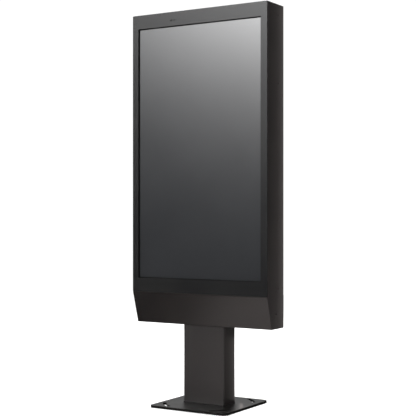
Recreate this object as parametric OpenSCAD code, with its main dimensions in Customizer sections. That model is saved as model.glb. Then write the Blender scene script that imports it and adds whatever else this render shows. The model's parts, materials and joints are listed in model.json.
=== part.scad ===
// Free-standing outdoor touchscreen kiosk: a portrait display in a sheet-metal casing on a floor column.
// Millimetres. X runs left to right, the screen faces -Y, Z is up.
// The origin is on the floor, under the centre of the column and of its base plate.

/* [Screen] */
// Width of the opening in the front bezel
screen_w = 692; // [600:1:900]
// Height of the opening in the front bezel
screen_h = 1234; // [1020:1:1500]
// Depth of the glass behind the front face of the bezel
recess = 8; // [6:0.5:10]
// Thickness of the cover glass
glass_t = 6; // [4:0.5:8]
// Width of gasket that shows between the bezel and the glass
gasket_show = 4; // [2:0.5:8]

/* [Casing] */
// Width of the bezel at each side of the opening
bezel_side = 34; // [32:1:80]
// Height of the bezel above the opening
bezel_top = 69; // [60:1:120]
// Height of the bezel below the opening
bezel_bottom = 67; // [50:1:120]
// Depth of the casing, from the front face to the rear face
casing_d = 164; // [160:1:240]
// Height of the sloping chin
chin_h = 156; // [130:1:220]
// How far the lower edge of the chin lies behind the front face
chin_setback = 45; // [20:1:50]
// Thickness of the casing sheet
sheet = 2.5; // [1.5:0.1:3]
// Distance from the centre of the column to the front face
front_reach = 110; // [108:1:114]
// Diameter of the larger sensor window
sensor_d = 8; // [5:0.5:12]
// Diameter of the smaller sensor window
small_sensor_d = 6; // [3:0.5:10]

/* [Column and base] */
// Width of the column
column_w = 234; // [160:1:300]
// Depth of the column
column_d = 104; // [96:1:104]
// Wall of the column tube
column_wall = 5; // [3:0.5:6]
// Outside corner radius of the column tube
column_corner_r = 8; // [7:0.5:12]
// Height of the column between the base plate and the casing
column_exposed_h = 382; // [150:1:900]
// Width of the base plate
base_w = 430; // [400:1:600]
// Depth of the base plate
base_d = 420; // [400:1:600]
// Thickness of the base plate
base_t = 12; // [8:1:20]
// Corner radius of the base plate
base_corner_r = 24; // [20:1:60]
// Radius of the circle that the anchor slots follow
slot_circle_r = 218; // [200:1:230]
// Width of an anchor slot
slot_w = 18; // [12:1:24]
// Angle between the end centres of an anchor slot
slot_span = 24; // [10:1:30]
// Radius of the cable entry in the base plate
cable_entry_r = 40; // [25:1:42]

/* [Rear door] */
// Depth of the door tray
door_d = 14; // [14:1:24]
// Width of the flange that the door closes against
land_w = 28; // [24:1:34]
// Height of each vent in the door
vent_h = 130; // [90:1:160]
// Width of each vent in the door
vent_w = 460; // [300:1:480]
// Outside radius of a hinge barrel
hinge_r = 6; // [5:0.5:7]
// Radius of a hinge pin
hinge_pin_r = 3; // [2:0.25:3.5]
// Length of half a hinge barrel
hinge_half_h = 32; // [24:1:50]
// Radius of the barrel of a cam lock
lock_r = 9.5; // [8:0.25:11]

/* [Inside] */
// Side of a square fan frame
fan_size = 140; // [120:1:150]
// Thickness of a fan
fan_t = 25; // [25:1:28]
// Number of blades on a fan
fan_blades = 7; // [5:1:9]
// Height of a cross member
cross_h = 60; // [40:1:80]
// Distance between the middle and the upper cross members
equipment_h = 820; // [780:1:900]
// Height of the fan bay above the upper cross member
fan_bay_h = 208; // [190:1:240]
// Width of the power supply
supply_w = 230; // [160:1:240]
// Width of the media player
player_w = 200; // [150:1:230]

/* [Hidden] */
$fn = 48;
// Gap where neighbouring pieces are free of each other
gap = 0.3;
// Running clearance on radius
run = 0.05;
// How far two walls of one piece run into each other, so that they join
joint_lap = 0.5;
e = 1;

front_y = -front_reach;
back_y = front_y + casing_d;
casing_w = screen_w + 2 * bezel_side;
half_w = casing_w / 2;
casing_z0 = base_t + column_exposed_h;
fold_z = casing_z0 + chin_h;
screen_z0 = fold_z + bezel_bottom;
screen_z1 = screen_z0 + screen_h;
casing_z1 = screen_z1 + bezel_top;
screen_zc = (screen_z0 + screen_z1) / 2;
inner_x = half_w - sheet - gap;

// Bezel
bezel_t = 3;
return_t = 2;
return_d = 15;
gasket_t = 2;
glass_y = front_y + recess;
glass_back_y = glass_y + glass_t;
glass_over = 10;
sensor_drop = 42;
sensor_x = -151;
sensor_pitch = 20;

// Casing back
band_d = 12;
side_back_y = back_y - band_d;
rim_t = 2;
cover_proud = 1.2;
side_flange_w = 30;
vent_slot_w = 6;
vent_slot_pitch = 16;

// Frame
rail_y0 = -12;
rail_y1 = 22;
rail_t = 3;
rail_w = 22;
rail_inner_x = inner_x - rail_w;
column_socket = 46;
column_top = casing_z0 + column_socket;
head_t = 10;
head_w = column_w + 126;
head_d = 98;
head_bolt_r = 5;
head_bolt_x = [column_w / 2 - 57, head_w / 2 - 30];
head_bolt_y = 5;
lower_cross_z = column_top + head_t;
upper_cross_z = casing_z1 - fan_bay_h - cross_h;
middle_cross_z = upper_cross_z - equipment_h;
cross_z = [lower_cross_z, middle_cross_z, upper_cross_z];
cross_web_t = 4;
frame_bolt_r = 3;
frame_bolt_x = rail_inner_x + rail_w / 2;
// Places of the bolts, as shares of a cross member's height
frame_bolt_steps = [0.25, 0.75];

// Side screws
side_screw_y = 2;
side_screw_count = 5;
side_screw_z0 = casing_z0 + 190;
side_screw_z1 = casing_z1 - 50;
side_screw_r = 2;
chin_screw_y = -21;
chin_screw_z = casing_z0 + 70;
chin_screw_hole_r = 4.5;
chin_screw_r = 2.5;

// Display
film_t = 1;
clip_t = 2.5;
tray_front_y = glass_back_y + film_t + clip_t;
tray_d = 32;
tray_t = 2;
tray_back_y = tray_front_y + tray_d;
cell_over = 4;
cell_t = 2;
diffuser_t = 3;
sink_base_t = 3;
sink_fin_h = 16;
sink_fin_pitch = 28;
sink_half_w = screen_w / 2 - 16;

// Equipment
plate_t = 2;
plate_y = rail_y1 - rail_t;
shelf_y = plate_y + plate_t;
plate_half_w = rail_inner_x - 35;
board_z = upper_cross_z - 40;
supply_x = -plate_half_w + 30;
supply_h = 120;
supply_d = 30;
player_x = 40;
player_h = 170;
player_d = 28;
player_z = middle_cross_z + 300;
player_button_r = 5;
player_button_x = player_x + player_w - 24;
breaker_x = supply_x;
breaker_w = 170;
breaker_h = 200;
breaker_d = 16;
breaker_z = middle_cross_z + 30;
toggle_r = 6;
toggle_w = 14;
toggle_l = 11;
toggle_y = shelf_y + breaker_d + 2;
toggle_z = breaker_z + 130;
toggle_x = breaker_x + 52;
harness_r = 3.5;

// Fans
fan_y = rail_y1 + plate_t;
fan_z = casing_z1 - 120;
fan_x = 160;
fan_hole_r = fan_size / 2 - 4;
fan_hub_r = 21;
fan_axle_r = 3;

// Door
gasket_h = 2.2;
door_y = back_y + gasket_h + gap;
door_back_y = door_y + door_d;
door_t = 2;
door_inner_y = door_back_y - door_t;
door_x0 = -(half_w - 16);
door_x1 = half_w - 10;
door_z0 = fold_z + 12;
door_z1 = casing_z1 - 12;
intake_z = door_z0 + 48;
exhaust_z = casing_z1 - 55 - vent_h;
hinge_x = door_x0 - hinge_r - 2;
hinge_y = back_y + 8;
hinge_z = [door_z0 + 140, (door_z0 + door_z1) / 2, door_z1 - 140];
lock_x = half_w - land_w - lock_r - 6.5;
lock_z = [door_z0 + 290, door_z1 - 290];
lock_core_r = 6;
cam_t = 3;
cam_y = side_back_y + 4;
cam_reach = half_w - rim_t - lock_x - 3;
filter_d = 8;
filter_y = door_inner_y - 1.5 - filter_d;
filter_half_w = vent_w / 2 + 10;
filter_z0 = intake_z - 8;
filter_h = vent_h + 14;

// ---- shapes that repeat ----

// A box from its lowest to its highest corner
module box(low, high) {
    translate(low) cube([high[0] - low[0], high[1] - low[1], high[2] - low[2]]);
}

// A rectangular ring that lies in the XZ plane, from y0 to y1
module ring(outer_low, outer_high, inner_low, inner_high, y0, y1) {
    difference() {
        box([outer_low[0], y0, outer_low[1]], [outer_high[0], y1, outer_high[1]]);
        box([inner_low[0], y0 - e, inner_low[1]], [inner_high[0], y1 + e, inner_high[1]]);
    }
}

// A profile drawn in Y and Z, extruded along X from x0 to x1
module across(x0, x1) {
    translate([x0, 0, 0]) rotate([90, 0, 90]) linear_extrude(x1 - x0) children();
}

// A cylinder along +Y from y0 to y1
module rod_y(x, z, y0, y1, r) {
    translate([x, y0, z]) rotate([-90, 0, 0]) cylinder(r = r, h = y1 - y0);
}

// A cylinder along +X from x0 to x1
module rod_x(y, z, x0, x1, r) {
    translate([x0, y, z]) rotate([0, 90, 0]) cylinder(r = r, h = x1 - x0);
}

module rounded_rect(w, d, r) {
    square([w - 2 * r, d], center = true);
    square([w, d - 2 * r], center = true);
    for (x = [-1, 1], y = [-1, 1]) translate([x * (w / 2 - r), y * (d / 2 - r)]) circle(r);
}

// Copies its children to the other side of the YZ plane
module both_sides() {
    children();
    mirror([1, 0, 0]) children();
}

// Outer line of the chin: its Y at height z
function chin_y(z) = front_y + chin_setback * (fold_z - z) / chin_h;
chin_thick_y = sheet * sqrt(chin_h * chin_h + chin_setback * chin_setback) / chin_h;

// ---- base and column ----

module anchor_slot() {
    reach = slot_circle_r * 2;
    intersection() {
        difference() {
            circle(slot_circle_r + slot_w / 2, $fn = 96);
            circle(slot_circle_r - slot_w / 2, $fn = 96);
        }
        polygon([[0, 0], [reach * cos(slot_span / 2), -reach * sin(slot_span / 2)],
                 [reach * cos(slot_span / 2), reach * sin(slot_span / 2)]]);
    }
    // The end circles are a touch wider than the slot, so that they cross its sides cleanly
    for (a = [-1, 1]) rotate(a * slot_span / 2) translate([slot_circle_r, 0]) circle(slot_w / 2 + run);
}

module base_plate() {
    color("#2b2826") linear_extrude(base_t) difference() {
        rounded_rect(base_w, base_d, base_corner_r);
        for (a = [45 : 90 : 315]) rotate(a) anchor_slot();
        circle(cable_entry_r);
    }
}

module column_tube() {
    color("#3a3634") translate([0, 0, base_t]) linear_extrude(column_top - base_t) difference() {
        rounded_rect(column_w, column_d, column_corner_r);
        rounded_rect(column_w - 2 * column_wall, column_d - 2 * column_wall, column_corner_r - column_wall);
    }
}

module column_head_plate() {
    color("#3a3634") difference() {
        box([-head_w / 2, -head_d / 2, column_top], [head_w / 2, head_d / 2, column_top + head_t]);
        translate([0, -head_d / 4, column_top - e]) cylinder(r = 18, h = head_t + 2 * e);
        both_sides() for (x = head_bolt_x) translate([x, head_bolt_y, column_top - e])
            cylinder(r = head_bolt_r + run, h = head_t + 2 * e);
    }
}

module head_bolts() {
    top = lower_cross_z + cross_web_t;
    color("silver") both_sides() for (x = head_bolt_x) translate([x, head_bolt_y, 0]) {
        translate([0, 0, column_top]) cylinder(r = head_bolt_r, h = top - column_top + e);
        translate([0, 0, top]) cylinder(r = 8.5, h = 6.5, $fn = 6);
    }
}

// ---- inner frame ----

module frame_rail() {
    z0 = casing_z0 + sheet;
    z1 = casing_z1 - sheet;
    difference() {
        box([rail_inner_x, rail_y0, z0], [inner_x, rail_y1, z1]);
        box([rail_inner_x - e, rail_y0 + rail_t, z0 - e], [inner_x - rail_t, rail_y1 - rail_t, z1 + e]);
        for (z = side_screw_heights())
            rod_x(side_screw_y, z, inner_x - rail_t - e, inner_x + e, side_screw_r + run);
        for (z = cross_z, s = frame_bolt_steps)
            rod_y(frame_bolt_x, z + s * cross_h, rail_y1 - rail_t - e, rail_y1 + e, frame_bolt_r + run);
    }
}

module frame_rail_left() { color("#8d9194") mirror([1, 0, 0]) frame_rail(); }
module frame_rail_right() { color("#8d9194") frame_rail(); }

// A channel that opens to the front and ends inside both rails
module cross_member(z) {
    half = inner_x - rail_t;
    y0 = rail_y0 + rail_t;
    y1 = rail_y1 - rail_t;
    difference() {
        box([-half, y0, z], [half, y1, z + cross_h]);
        box([-half - e, y0 - e, z + cross_web_t], [half + e, y1 - cross_web_t, z + cross_h - cross_web_t]);
        both_sides() for (s = frame_bolt_steps)
            rod_y(frame_bolt_x, z + s * cross_h, y1 - cross_web_t - e, y1 + e, frame_bolt_r + run);
        if (z == lower_cross_z) both_sides() for (x = head_bolt_x) translate([x, head_bolt_y, z - e])
            cylinder(r = head_bolt_r + run, h = cross_web_t + 2 * e);
    }
}

module lower_cross_member() { color("#8d9194") cross_member(lower_cross_z); }
module middle_cross_member() { color("#8d9194") cross_member(middle_cross_z); }
module upper_cross_member() { color("#8d9194") cross_member(upper_cross_z); }

module frame_bolts() {
    color("silver") both_sides() for (zc = cross_z, s = frame_bolt_steps) {
        z = zc + s * cross_h;
        rod_y(frame_bolt_x, z, rail_y1 - rail_t - cross_web_t - 6, rail_y1 + e, frame_bolt_r);
        rod_y(frame_bolt_x, z, rail_y1, rail_y1 + 1.5, 6.5);
    }
}

// ---- casing ----

module front_bezel() {
    screen_low = [-screen_w / 2, screen_z0];
    screen_high = [screen_w / 2, screen_z1];
    return_low = [-inner_x, fold_z];
    return_high = [inner_x, casing_z1 - sheet - gap];
    t = [return_t, return_t];
    back = front_y + bezel_t;
    sensor_z = casing_z1 - sensor_drop;
    color("#4a4a4a") difference() {
        union() {
            ring([-half_w, fold_z], [half_w, casing_z1], screen_low, screen_high, front_y, back);
            ring(screen_low - t, screen_high + t, screen_low, screen_high, back - e, glass_y - gasket_t);
            ring(return_low, return_high, return_low + t, return_high - t, back - e, back + return_d);
        }
        rod_y(sensor_x, sensor_z, front_y - e, back + e, sensor_d / 2);
        rod_y(sensor_x + sensor_pitch, sensor_z, front_y - e, back + e, small_sensor_d / 2);
    }
}

function side_screw_heights() = [for (i = [0 : side_screw_count - 1])
    side_screw_z0 + i * (side_screw_z1 - side_screw_z0) / (side_screw_count - 1)];

module side_panel() {
    y0 = front_y + bezel_t + gap;
    flange_z0 = casing_z0 + sheet + gap;
    flange_z1 = casing_z1 - sheet - gap;
    difference() {
        union() {
            across(half_w - sheet, half_w) polygon([
                [y0, casing_z1], [y0, fold_z],
                [chin_y(fold_z - 1) + chin_thick_y + gap, fold_z - 1],
                [chin_y(casing_z0) + chin_thick_y + gap, casing_z0],
                [side_back_y, casing_z0], [side_back_y, casing_z1]]);
            box([half_w - side_flange_w, side_back_y - sheet, flange_z0],
                [half_w - sheet + joint_lap, side_back_y, flange_z1]);
        }
        for (z = side_screw_heights())
            rod_x(side_screw_y, z, half_w - sheet - e, half_w + e, side_screw_r + run);
        rod_x(chin_screw_y, chin_screw_z, half_w - sheet - e, half_w + e, chin_screw_hole_r);
        for (z = rear_screw_heights())
            rod_y(rear_screw_x, z, side_back_y - sheet - e, side_back_y + e, side_screw_r + run);
    }
}

module side_panel_left() { color("#3a3634") mirror([1, 0, 0]) side_panel(); }
module side_panel_right() { color("#3a3634") side_panel(); }

module side_screws() {
    color("#2a2827") both_sides() for (z = side_screw_heights()) {
        rod_x(side_screw_y, z, inner_x - rail_t - 4, half_w + 0.5, side_screw_r);
        rod_x(side_screw_y, z, half_w, half_w + 1.2, 4);
    }
}

module top_panel() {
    y0 = front_y + bezel_t + gap;
    flange_x = inner_x - return_t - gap;
    color("#3a3634") {
        box([-inner_x, y0, casing_z1 - sheet], [inner_x, side_back_y, casing_z1]);
        box([-flange_x + 40, side_back_y - sheet, casing_z1 - 22],
            [flange_x - 40, side_back_y, casing_z1 - sheet + joint_lap]);
    }
}

module bottom_panel() {
    x0 = column_w / 2 + 1;
    y0 = -column_d / 2 - 1.5;
    slots = 10;
    slot_y = [y0 + 12, rail_y0 - 6];
    difference() {
        union() {
            box([x0, y0, casing_z0], [inner_x, side_back_y, casing_z0 + sheet]);
            box([x0, y0, casing_z0], [x0 + sheet, side_back_y, casing_z0 + 18]);
        }
        for (i = [1 : slots]) translate([x0 + 12 + i * vent_slot_pitch, 0, 0])
            box([0, slot_y[0], casing_z0 - e], [vent_slot_w, slot_y[1], casing_z0 + sheet + e]);
    }
}

module bottom_panel_left() { color("#3a3634") mirror([1, 0, 0]) bottom_panel(); }
module bottom_panel_right() { color("#3a3634") bottom_panel(); }

// The sloping front cover, with returns at its top and bottom and a cheek inside each side panel
module chin_cover() {
    top = fold_z - gap;
    cheek_x = inner_x - return_t;
    cheek_back = rail_y0 - gap;
    lip_y = -column_d / 2 - 2;
    color("#3d3937") difference() {
        union() {
            across(-half_w, half_w) polygon([
                [chin_y(top), top], [chin_y(casing_z0), casing_z0],
                [chin_y(casing_z0) + chin_thick_y, casing_z0], [chin_y(top) + chin_thick_y, top]]);
            box([-inner_x, chin_y(top) + joint_lap, top - sheet], [inner_x, front_y + 22, top]);
            box([-inner_x, chin_y(casing_z0) + joint_lap, casing_z0], [inner_x, lip_y, casing_z0 + sheet]);
            both_sides() across(cheek_x, inner_x) polygon([
                [chin_y(top) + joint_lap, top], [chin_y(casing_z0) + joint_lap, casing_z0],
                [lip_y, casing_z0], [lip_y, casing_z0 + sheet + gap],
                [cheek_back, casing_z0 + sheet + gap], [cheek_back, top]]);
        }
        both_sides() rod_x(chin_screw_y, chin_screw_z, cheek_x - e, inner_x + e, chin_screw_r + run);
    }
}

// Recessed security screws that hold the chin cover to the rails
module chin_screws() {
    color("#1c1b1a") both_sides() {
        rod_x(chin_screw_y, chin_screw_z, inner_x - return_t - 8, inner_x + joint_lap, chin_screw_r);
        difference() {
            rod_x(chin_screw_y, chin_screw_z, inner_x, inner_x + 2, 4);
            translate([inner_x + 0.8, chin_screw_y, chin_screw_z]) rotate([0, 90, 0])
                cylinder(r = 1.8, h = 2, $fn = 6);
        }
        box([inner_x - return_t - 2.5, chin_screw_y - 7, chin_screw_z - 12],
            [inner_x - return_t, rail_y0, chin_screw_z + 12]);
    }
}

rear_screw_x = half_w - 16;
function rear_screw_heights() = [casing_z0 + 24, casing_z0 + chin_h / 2, fold_z - 24];

module lower_rear_cover() {
    y1 = back_y + cover_proud;
    y0 = y1 - rim_t;
    rim_y = side_back_y + gap;
    top = fold_z - gap;
    notch = column_w / 2 + 1;
    color("#3a3634") difference() {
        union() {
            box([-half_w, y0, casing_z0], [half_w, y1, top]);
            both_sides() {
                box([half_w - rim_t, rim_y, casing_z0], [half_w, y1, top]);
                box([notch, rim_y, casing_z0], [half_w, y1, casing_z0 + rim_t]);
                for (z = rear_screw_heights()) rod_y(rear_screw_x, z, side_back_y, y0 + joint_lap, 5);
            }
            box([-half_w, rim_y, top - rim_t], [half_w, y1, top]);
        }
        both_sides() for (z = rear_screw_heights())
            rod_y(rear_screw_x, z, side_back_y - e, y1 + e, side_screw_r + run);
        both_sides() for (i = [1 : 6]) translate([column_w / 2 + 7 + i * vent_slot_pitch, 0, 0])
            box([0, y0 - e, casing_z0 + 40], [vent_slot_w, y1 + e, top - 40]);
    }
}

module rear_cover_screws() {
    y1 = back_y + cover_proud;
    color("#2a2827") both_sides() for (z = rear_screw_heights()) {
        rod_y(rear_screw_x, z, side_back_y - sheet - 4, y1 + 0.5, side_screw_r);
        rod_y(rear_screw_x, z, y1, y1 + 2, 4);
    }
}

// The frame that the door closes against: an outer band and a flat land
module rear_frame() {
    low = [-half_w, fold_z];
    high = [half_w, casing_z1];
    rim = [rim_t, rim_t];
    land = [land_w, land_w];
    color("#3a3634") {
        ring(low, high, low + rim, high - rim, side_back_y + gap, back_y);
        ring(low, high, low + land, high - land, back_y - rim_t, back_y);
    }
}

// ---- display ----

module cover_glass() {
    x = screen_w / 2 + glass_over;
    color("#202224") box([-x, glass_y, screen_z0 - glass_over], [x, glass_back_y, screen_z1 + glass_over]);
}

module touch_film() {
    x = screen_w / 2 + 2;
    color("#303336") box([-x, glass_back_y, screen_z0 - 2], [x, glass_back_y + film_t, screen_z1 + 2]);
}

module glass_gasket() {
    outer = glass_over;
    x = screen_w / 2;
    color("#0b0b0b") ring([-x - outer, screen_z0 - outer], [x + outer, screen_z1 + outer],
        [-x + gasket_show, screen_z0 + gasket_show], [x - gasket_show, screen_z1 - gasket_show],
        glass_y - gasket_t, glass_y);
}

// Clips round the glass: a post on the back of the bezel and a tongue over the glass
module glass_clamps() {
    x = screen_w / 2;
    post_x0 = x + glass_over + 2;
    post_x1 = min(post_x0 + 12, inner_x - return_t - 1);
    half = 12;
    color("silver") {
        both_sides() for (i = [-2 : 2]) {
            z = screen_zc + i * (screen_h - 120) / 4;
            box([post_x0, front_y + bezel_t, z - half], [post_x1, glass_back_y + clip_t, z + half]);
            box([x + 4, glass_back_y, z - half], [post_x1, glass_back_y + clip_t, z + half]);
        }
        for (s = [-1, 1], i = [-1 : 1]) {
            xc = i * (screen_w - 160) / 2;
            za = screen_zc + s * (screen_h / 2 + glass_over + 2);
            zb = za + s * 10;
            zt = screen_zc + s * (screen_h / 2 + 4);
            box([xc - half, front_y + bezel_t, min(za, zb)], [xc + half, glass_back_y + clip_t, max(za, zb)]);
            box([xc - half, glass_back_y, min(zt, zb)], [xc + half, glass_back_y + clip_t, max(zt, zb)]);
        }
    }
}

module lcd_cell() {
    x = screen_w / 2 + cell_over;
    color("#151617")
        box([-x, tray_front_y, screen_z0 - cell_over], [x, tray_front_y + cell_t, screen_z1 + cell_over]);
}

module diffuser_plate() {
    x = screen_w / 2 + cell_over;
    y = tray_front_y + cell_t + 2.5;
    color("white") box([-x, y, screen_z0 - cell_over], [x, y + diffuser_t, screen_z1 + cell_over]);
}

module led_bars() {
    bars = 12;
    bar_h = 14;
    x = screen_w / 2 - 6;
    y = tray_back_y - tray_t;
    pitch = (screen_h - 80 - bar_h) / (bars - 1);
    color("white") for (i = [0 : bars - 1]) translate([0, 0, screen_z0 + 40 + i * pitch])
        box([-x, y - 1.6, 0], [x, y, bar_h]);
}

module backlight_tray() {
    x = screen_w / 2 + cell_over;
    z0 = screen_z0 - cell_over;
    z1 = screen_z1 + cell_over;
    color("#9a9da0") difference() {
        box([-x - tray_t, tray_front_y, z0 - tray_t], [x + tray_t, tray_back_y, z1 + tray_t]);
        box([-x, tray_front_y - e, z0], [x, tray_back_y - tray_t, z1]);
    }
}

module heat_sink() {
    fins = floor((2 * sink_half_w - 10) / sink_fin_pitch);
    z0 = screen_z0 + 50;
    color("#a8abad") translate([0, 0, z0]) linear_extrude(screen_h - 100) {
        translate([-sink_half_w, tray_back_y]) square([2 * sink_half_w, sink_base_t]);
        for (i = [0 : fins]) translate([(i - fins / 2) * sink_fin_pitch - 1, tray_back_y])
            square([2, sink_base_t + sink_fin_h]);
    }
}

module display_brackets() {
    a = sink_half_w + 4;
    b = screen_w / 2 + cell_over + tray_t;
    c = inner_x - rail_t;
    t = 3;
    h = 60;
    color("#9a9da0") both_sides() for (i = [-1 : 1])
        translate([0, 0, screen_zc + i * (screen_h - 300) / 2 - h / 2]) linear_extrude(h) polygon([
            [a, tray_back_y], [b, tray_back_y], [b, rail_y0 - t], [c, rail_y0 - t],
            [c, rail_y0], [b - t, rail_y0], [b - t, tray_back_y + t], [a, tray_back_y + t]]);
}

module sensor_windows() {
    z = casing_z1 - sensor_drop;
    color("#050505") {
        rod_y(sensor_x, z, front_y + 1, front_y + bezel_t + 2.5, sensor_d / 2 - run);
        rod_y(sensor_x + sensor_pitch, z, front_y + 1, front_y + bezel_t + 2.5, small_sensor_d / 2 - run);
    }
}

module sensor_board() {
    z = casing_z1 - sensor_drop;
    y = front_y + bezel_t + 2.5;
    x0 = sensor_x - 22;
    x1 = sensor_x + sensor_pitch + 22;
    color("#2f5d3a") {
        box([x0, y, z - 7], [x1, y + 6, z + 7]);
        for (x = [x0 + 5, x1 - 5]) rod_y(x, z, front_y + bezel_t, y + 1, 3);
    }
}

// ---- equipment ----

module equipment_plate() {
    color("#b5b8ba")
        box([-plate_half_w, plate_y, middle_cross_z], [plate_half_w, shelf_y, upper_cross_z + cross_h]);
}

module power_supply() {
    x1 = supply_x + supply_w;
    z0 = board_z - supply_h;
    color("#c3c6c8") {
        box([supply_x, shelf_y, z0], [x1, shelf_y + supply_d, board_z]);
        both_sides_of(supply_x, x1) box([-12, shelf_y, z0 + 20], [0.5, shelf_y + 2, board_z - 20]);
    }
}

// Ears on the two ends of a case that spans x0 to x1
module both_sides_of(x0, x1) {
    translate([x0, 0, 0]) children();
    translate([x1, 0, 0]) mirror([1, 0, 0]) children();
}

module control_board() {
    x0 = 20;
    x1 = plate_half_w - 30;
    z0 = board_z - 190;
    y = shelf_y + 6;
    color("#1f5a34") {
        box([x0, y, z0], [x1, y + 1.6, board_z]);
        for (x = [x0 + 6, x1 - 6], z = [z0 + 6, board_z - 6]) rod_y(x, z, shelf_y, y + 0.5, 3);
        box([x0 + 40, y + 1, z0 + 90], [x0 + 90, y + 12, z0 + 140]);
        box([x0 + 120, y + 1, z0 + 100], [x0 + 150, y + 5, z0 + 130]);
        box([x0 + 20, y + 1, z0 + 4], [x0 + 80, y + 14, z0 + 22]);
        box([x1 - 50, y + 1, z0 + 20], [x1 - 20, y + 18, z0 + 60]);
    }
}

module media_player() {
    x1 = player_x + player_w;
    y1 = shelf_y + player_d;
    z1 = player_z + player_h;
    color("#2c2e30") difference() {
        union() {
            box([player_x, shelf_y, player_z], [x1, y1, z1]);
            both_sides_of(player_x, x1) box([-14, shelf_y, player_z + 30], [0.5, shelf_y + 2, z1 - 30]);
        }
        rod_y(player_button_x, player_z + 24, y1 - 6, y1 + e, player_button_r + gap);
    }
}

module player_button() {
    y1 = shelf_y + player_d;
    color("#c8cacb") rod_y(player_button_x, player_z + 24, y1 - 4, y1 + 1.5, player_button_r);
}

// A rail-mounted box: breaker, surge arrester and terminals side by side
module breaker_box() {
    x1 = breaker_x + breaker_w;
    z1 = breaker_z + breaker_h;
    color("#d8dadb") difference() {
        union() {
            box([breaker_x, shelf_y, breaker_z], [x1, shelf_y + 3, z1]);
            box([breaker_x + 10, shelf_y + 2, breaker_z + 90], [x1 - 10, shelf_y + 8, breaker_z + 150]);
            translate([breaker_x, shelf_y + 2, breaker_z]) {
                box([34, 0, 80], [70, breaker_d - 2, 165]);
                box([34, 0, 100], [70, breaker_d + 3, 150]);
                box([72, 0, 80], [108, breaker_d - 2, 165]);
                for (i = [0 : 4]) box([112 + i * 9, 0, 85], [120 + i * 9, breaker_d - 6, 155]);
            }
        }
        translate([toggle_x, 0, 0])
            rod_x(toggle_y, toggle_z, -toggle_w / 2 - gap, toggle_w / 2 + gap, toggle_r + gap);
    }
}

module breaker_toggle() {
    color("#1d1e20") translate([toggle_x, toggle_y, toggle_z]) {
        rotate([0, 90, 0]) cylinder(r = toggle_r, h = toggle_w, center = true);
        rotate([25, 0, 0]) translate([-toggle_w / 2, 0, -2]) cube([toggle_w, toggle_l, 4]);
    }
}

// Round cable along a line of points, with a ball at each bend
module cable(points, r) {
    for (i = [0 : len(points) - 2]) {
        v = points[i + 1] - points[i];
        l = norm(v);
        translate(points[i]) rotate([0, acos(v[2] / l), atan2(v[1], v[0])])
            cylinder(r = r, h = l, $fn = 24);
    }
    for (i = [1 : 1 : len(points) - 2]) translate(points[i]) sphere(r, $fn = 24);
}

module power_harness() {
    y = shelf_y + harness_r;
    x = supply_x + 70;
    mid = -26;
    color("#111111") {
        cable([[x, y, breaker_z + breaker_h], [x, y, board_z - supply_h]], harness_r);
        // These two ends enter the cases past their mounting ears
        cable([[supply_x + supply_w, y, board_z - 12], [mid, y, board_z - 12], [mid, y, player_z + 14],
               [player_x, y, player_z + 14]], harness_r);
        cable([[player_x + 60, y, player_z + player_h], [player_x + 60, y, board_z - 190]], harness_r);
    }
}

// ---- fans ----

module fan_tray() {
    color("#b5b8ba") difference() {
        box([-inner_x + 6, rail_y1, upper_cross_z + cross_h + 4], [inner_x - 6, fan_y, casing_z1 - 34]);
        for (x = [-fan_x, fan_x]) rod_y(x, fan_z, rail_y1 - e, fan_y + e, fan_hole_r);
    }
}

module fan_frame(x) {
    h = fan_size / 2;
    translate([x, 0, fan_z]) {
        difference() {
            box([-h, fan_y, -h], [h, fan_y + fan_t, h]);
            rod_y(0, 0, fan_y - e, fan_y + fan_t + e, fan_hole_r);
            for (a = [-1, 1], b = [-1, 1])
                rod_y(a * (h - 7.5), b * (h - 7.5), fan_y - e, fan_y + fan_t + e, 2.2);
        }
        rod_y(0, 0, fan_y, fan_y + 3, fan_hub_r + 1);
        rod_y(0, 0, fan_y + 2, fan_y + 16, fan_axle_r);
        for (a = [45 : 90 : 315]) rotate([0, a, 0])
            box([fan_hub_r, fan_y, -3], [fan_hole_r + 1, fan_y + 3, 3]);
    }
}

module fan_frame_left() { color("#1a1a1b") fan_frame(-fan_x); }
module fan_frame_right() { color("#1a1a1b") fan_frame(fan_x); }

module fan_rotor(x) {
    y0 = fan_y + 3.5;
    y1 = fan_y + fan_t - 1.5;
    tip_r = fan_hole_r - 1.5;
    translate([x, 0, fan_z]) difference() {
        union() {
            rod_y(0, 0, y0, y1, fan_hub_r);
            intersection() {
                for (i = [0 : fan_blades - 1]) rotate([0, i * 360 / fan_blades, 0])
                    translate([0, (y0 + y1) / 2, 0]) multmatrix([
                        [1, 0, 0, 0], [0, 1, 0, 0], [0, 1.4, 1, 0], [0, 0, 0, 1]])
                        translate([fan_hub_r - 3, -fan_t / 2, -1.2]) cube([tip_r, fan_t, 2.4]);
                rod_y(0, 0, y0 + 1, y1 - 1, tip_r);
            }
        }
        rod_y(0, 0, y0 - e, fan_y + 16.5, fan_axle_r + run);
    }
}

module fan_rotor_left() { color("#141415") fan_rotor(-fan_x); }
module fan_rotor_right() { color("#141415") fan_rotor(fan_x); }

// ---- rear door ----

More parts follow.
